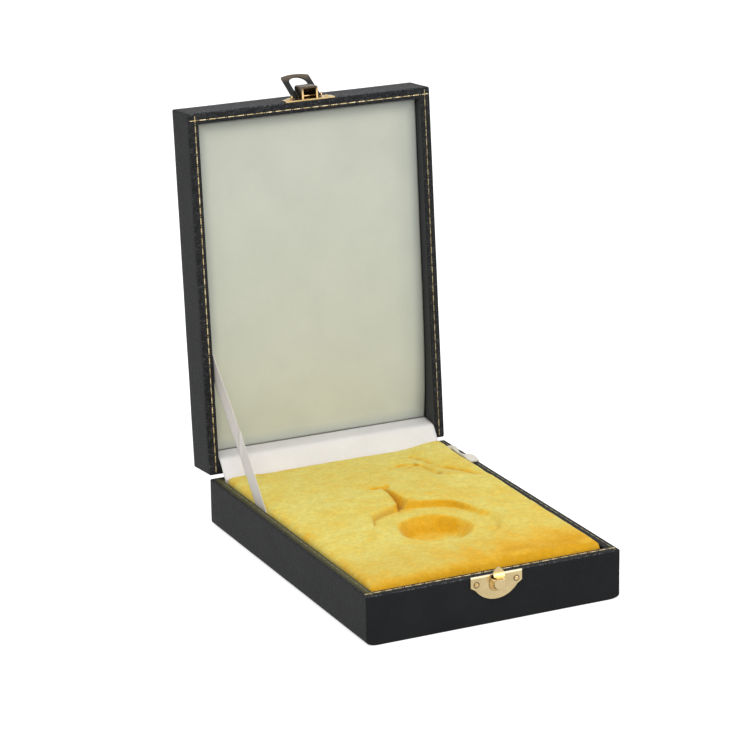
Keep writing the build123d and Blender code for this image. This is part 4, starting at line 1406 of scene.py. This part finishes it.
def taut_stay(material):
    """The left stay: a flat tape pulled straight from beside the insert to beside the pad."""
    foot, head = np.array(taut_foot), np.array(taut_head)
    length = float(np.linalg.norm(head - foot))
    run = (head - foot) / length
    side = np.array((0, -run[2], run[1]))
    along = np.linspace(0, 1, taut_grid[0])[:, None]
    across = np.linspace(-0.5, 0.5, taut_grid[1])[None, :]
    points = foot + along[..., None] * (head - foot) + across[..., None] * ribbon_width * side
    turn = (along - fold_place) * fold_sharp - across * fold_slant
    crease = np.exp(-(turn**2) * 5)
    shadow = np.exp(-((turn - 0.6) ** 2) * 9)
    points[..., 0] += taut_bow * np.sin(pi * along) + fold_rise * crease - taut_cup * across**2
    # Painted highlight on the fold and painted shadow beside it
    shade = 0.5 + 0.5 * crease - 0.5 * shadow
    piece = cloth("stay_ribbon_taut", points, ribbon_thick, shade)
    finish_piece(piece, material, None, "ribbon", "stay_ribbon_left")
    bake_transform(piece)


def slack_stay(material):
    """The right stay, creased in two along its length: up beside the insert, then on the rim.

    Its fold and its edges are two smooth lines. The upper layer is ruled between them, and the
    lower one runs back just under it.
    """
    rows, columns = slack_grid
    base = np.array((0, 0, base_top))
    first = smooth_line(np.array(slack_fold_line) * mm + base, rows)
    second = smooth_line(np.array(slack_edge_line) * mm + base, rows)
    turn = np.linspace(0, 1, columns)
    across = 1 - np.abs(2 * turn - 1)
    share = across[None, :, None]
    points = first[:, None] * (1 - share) + second[:, None] * share
    along = np.linspace(0, 1, rows)[:, None]
    wave = np.sin(9 * along + 2 * across[None, :])
    points[..., 2] += slack_wave * wave * smooth_step(along, 0.25, 0.4)
    under = slack_layer_gap * smooth_step(turn, 0.46, 0.56)
    lying = ease(points[..., 2] - base_top, -1.0, 0.4)
    points[..., 2] -= under * lying
    points[..., 0] -= under * (1 - lying)
    # Painted highlight along the fold and along the edges
    edges = smooth_step(np.abs(across[None, :] - 0.5) + 0 * along, 0.4, 0.5)
    piece = cloth("stay_ribbon_slack", points, ribbon_thick, 0.5 + 0.4 * edges)
    finish_piece(piece, material, "base", "ribbon", "stay_ribbon_right")
    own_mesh(piece)


# Clasp and hinge metal


def burnished(node, name, material, body, slot, front_edge=None):
    """A copy of a metal node with its sharp edges rounded over, standing for the node.

    Edges in the half towards the front are rounded by front_edge where it is given.
    """
    source = frame["nodes"][node]
    piece = source.copy()
    piece.data = source.data.copy()
    piece.name = name
    piece.data.name = name
    bpy.context.scene.collection.objects.link(piece)
    work = bmesh.new()
    work.from_mesh(piece.data)
    bmesh.ops.remove_doubles(work, verts=work.verts, dist=loose_weld)
    angle = radians(flat_corner)
    bmesh.ops.dissolve_limit(work, angle_limit=angle, verts=work.verts, edges=work.edges)
    weight = work.edges.layers.float.new("bevel_weight_edge")
    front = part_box(node)[0][1] + 0.5 * mm
    for side in work.edges:
        if len(side.link_faces) == 2 and side.calc_face_angle() > radians(sharp_corner):
            raised = front_edge and all(vert.co.y < front for vert in side.verts)
            side[weight] = 1.0 if raised or not front_edge else clasp_edge / front_edge
    work.to_mesh(piece.data)
    work.free()
    smooth(piece.data, metal_angle)
    bevel = piece.modifiers.new("eased edges", "BEVEL")
    bevel.width = front_edge or clasp_edge
    bevel.segments = bevel_segments
    bevel.limit_method = "WEIGHT"
    bevel.harden_normals = False
    finish_piece(piece, material, body, slot, node)


def clasp(metals):
    """The metal pieces of the catch, the keeper and the bail."""
    plate, tongue = metals["plate"], metals["tongue"]
    burnished("catch_plate", "catch_plate_gilt", plate, "base", "gilt_brass", plate_front_edge)
    burnished("guide_tongue", "guide_tongue_gilt", tongue, "base", "gilt_brass")
    burnished("keeper_plate", "keeper_plate_gilt", metals["aged"], "lid", "gilt_brass")
    burnished("keeper_box", "keeper_box_gilt", metals["keeper"], "lid", "gilt_brass")
    burnished("bail", "bail_painted_dark", metals["bronzed"], "bail", "aged_brass")


def dress_nodes(material, *nodes):
    """Give the frame's own nodes a material."""
    for node in nodes:
        for slot in frame["nodes"][node].material_slots:
            slot.material = material


# Stage


def seen_straight(tree):
    """One for what the camera sees, also by reflection or through glass, else zero."""
    path = add_node(tree, "ShaderNodeLightPath").outputs
    seen = calc(tree, "MAXIMUM", path["Is Camera Ray"], path["Is Transmission Ray"])
    return calc(tree, "MAXIMUM", seen, path["Is Glossy Ray"])


def surroundings():
    """A white world, which lights the object more from above and from behind."""
    world = bpy.data.worlds.new("studio")
    bpy.context.scene.world = world
    world.use_nodes = True
    tree = world.node_tree
    way = add_node(tree, "ShaderNodeTexCoord").outputs["Generated"]
    way = add_node(tree, "ShaderNodeSeparateXYZ", {"Vector": way}).outputs
    sky = spread(tree, way["Z"], -0.1, 0.9, horizon_strength, zenith_strength)
    light = plus(tree, sky, spread(tree, way["Y"], 0.0, 0.8, 0.0, backdrop_strength))
    sockets = {0: seen_straight(tree), 2: light, 3: 1.0}
    strength = add_node(tree, "ShaderNodeMix", sockets, data_type="FLOAT").outputs[0]
    plug(tree, tree.nodes["Background"], {"Color": white, "Strength": strength})


def pale_floor():
    """A square floor, white to the camera, which keeps the object's shadow."""
    corners = [(-1, -1), (1, -1), (1, 1), (-1, 1)]
    mesh = bpy.data.meshes.new("floor")
    mesh.from_pydata([(x * floor_reach, y * floor_reach, 0) for x, y in corners], [], [range(4)])
    floor = put("floor", mesh)
    material, tree, shader = shader_material("white_floor")
    glow = times(tree, seen_straight(tree), floor_glow)
    surface = {"Base Color": floor_grey, "Roughness": 0.9, "Specular IOR Level": 0.0}
    plug(tree, shader, {**surface, "Emission Color": white, "Emission Strength": glow})
    mesh.materials.append(material)


def lamp(name, place, size, watts):
    """A square soft lamp that points at the case."""
    data = bpy.data.lights.new(name, "AREA")
    data.size = size
    data.energy = watts
    made = put(name, data)
    made.location = place
    made.rotation_euler = (Vector(lamp_target) - Vector(place)).to_track_quat("-Z", "Y").to_euler()


def stage():
    """White floor and surroundings, two broad lamps, and the camera at the photograph's place."""
    scene = bpy.context.scene
    surroundings()
    pale_floor()
    for name, settings in lamps.items():
        lamp(name, *settings)
    camera = put("camera", bpy.data.cameras.new("camera"))
    camera.location = camera_place
    camera.rotation_euler = Euler(camera_turn)
    camera.data.lens = camera_lens
    camera.data.sensor_width = camera_sensor
    camera.data.clip_end = camera_far
    scene.camera = camera
    scene.view_settings.view_transform = "Standard"


def build():
    """Make every piece and dress every node."""
    metals = clasp_metals()
    tape = woven_material("white_ribbon", *white_ribbon)
    leather_skins(leatherette_material())
    gilt_lines(gilt_foil_material())
    velvet_insert(velvet_material())
    satin_pad(woven_material("cream_satin", *cream_satin))
    hinge_strip(woven_material("white_satin", *white_satin))
    taut_stay(tape)
    slack_stay(tape)
    clasp(metals)

    sides = ("front", "back", "left", "right")
    walls = [f"{half}_{side}_wall" for half in ("base", "lid") for side in sides]
    wood = fibrous_material("sawn_wood", "rings", wood_tones, 0.7, (1.0, 0.12, 1.0))
    card = fibrous_material("grey_card", "flecks", card_tones, 0.9)
    lining = fibrous_material("black_lining_paper", "flecks", lining_tones, 0.9)
    dress_nodes(wood, *walls, "base_bottom_board", "lid_top_board")
    dress_nodes(card, "insert_board", "lid_pad_card")
    dress_nodes(lining, "underside_lining")
    hinge = ("hinge_leaf_base", "hinge_leaf_lid", "hinge_nails_base", "hinge_nails_lid")
    dress_nodes(metals["plain"], *hinge, "hinge_pin")
    dress_nodes(metals["nail"], "catch_nails")
    dress_nodes(metals["bright"], "keeper_nails")
    dress_nodes(metals["aged"], "bail_pin")
    stage()


build()
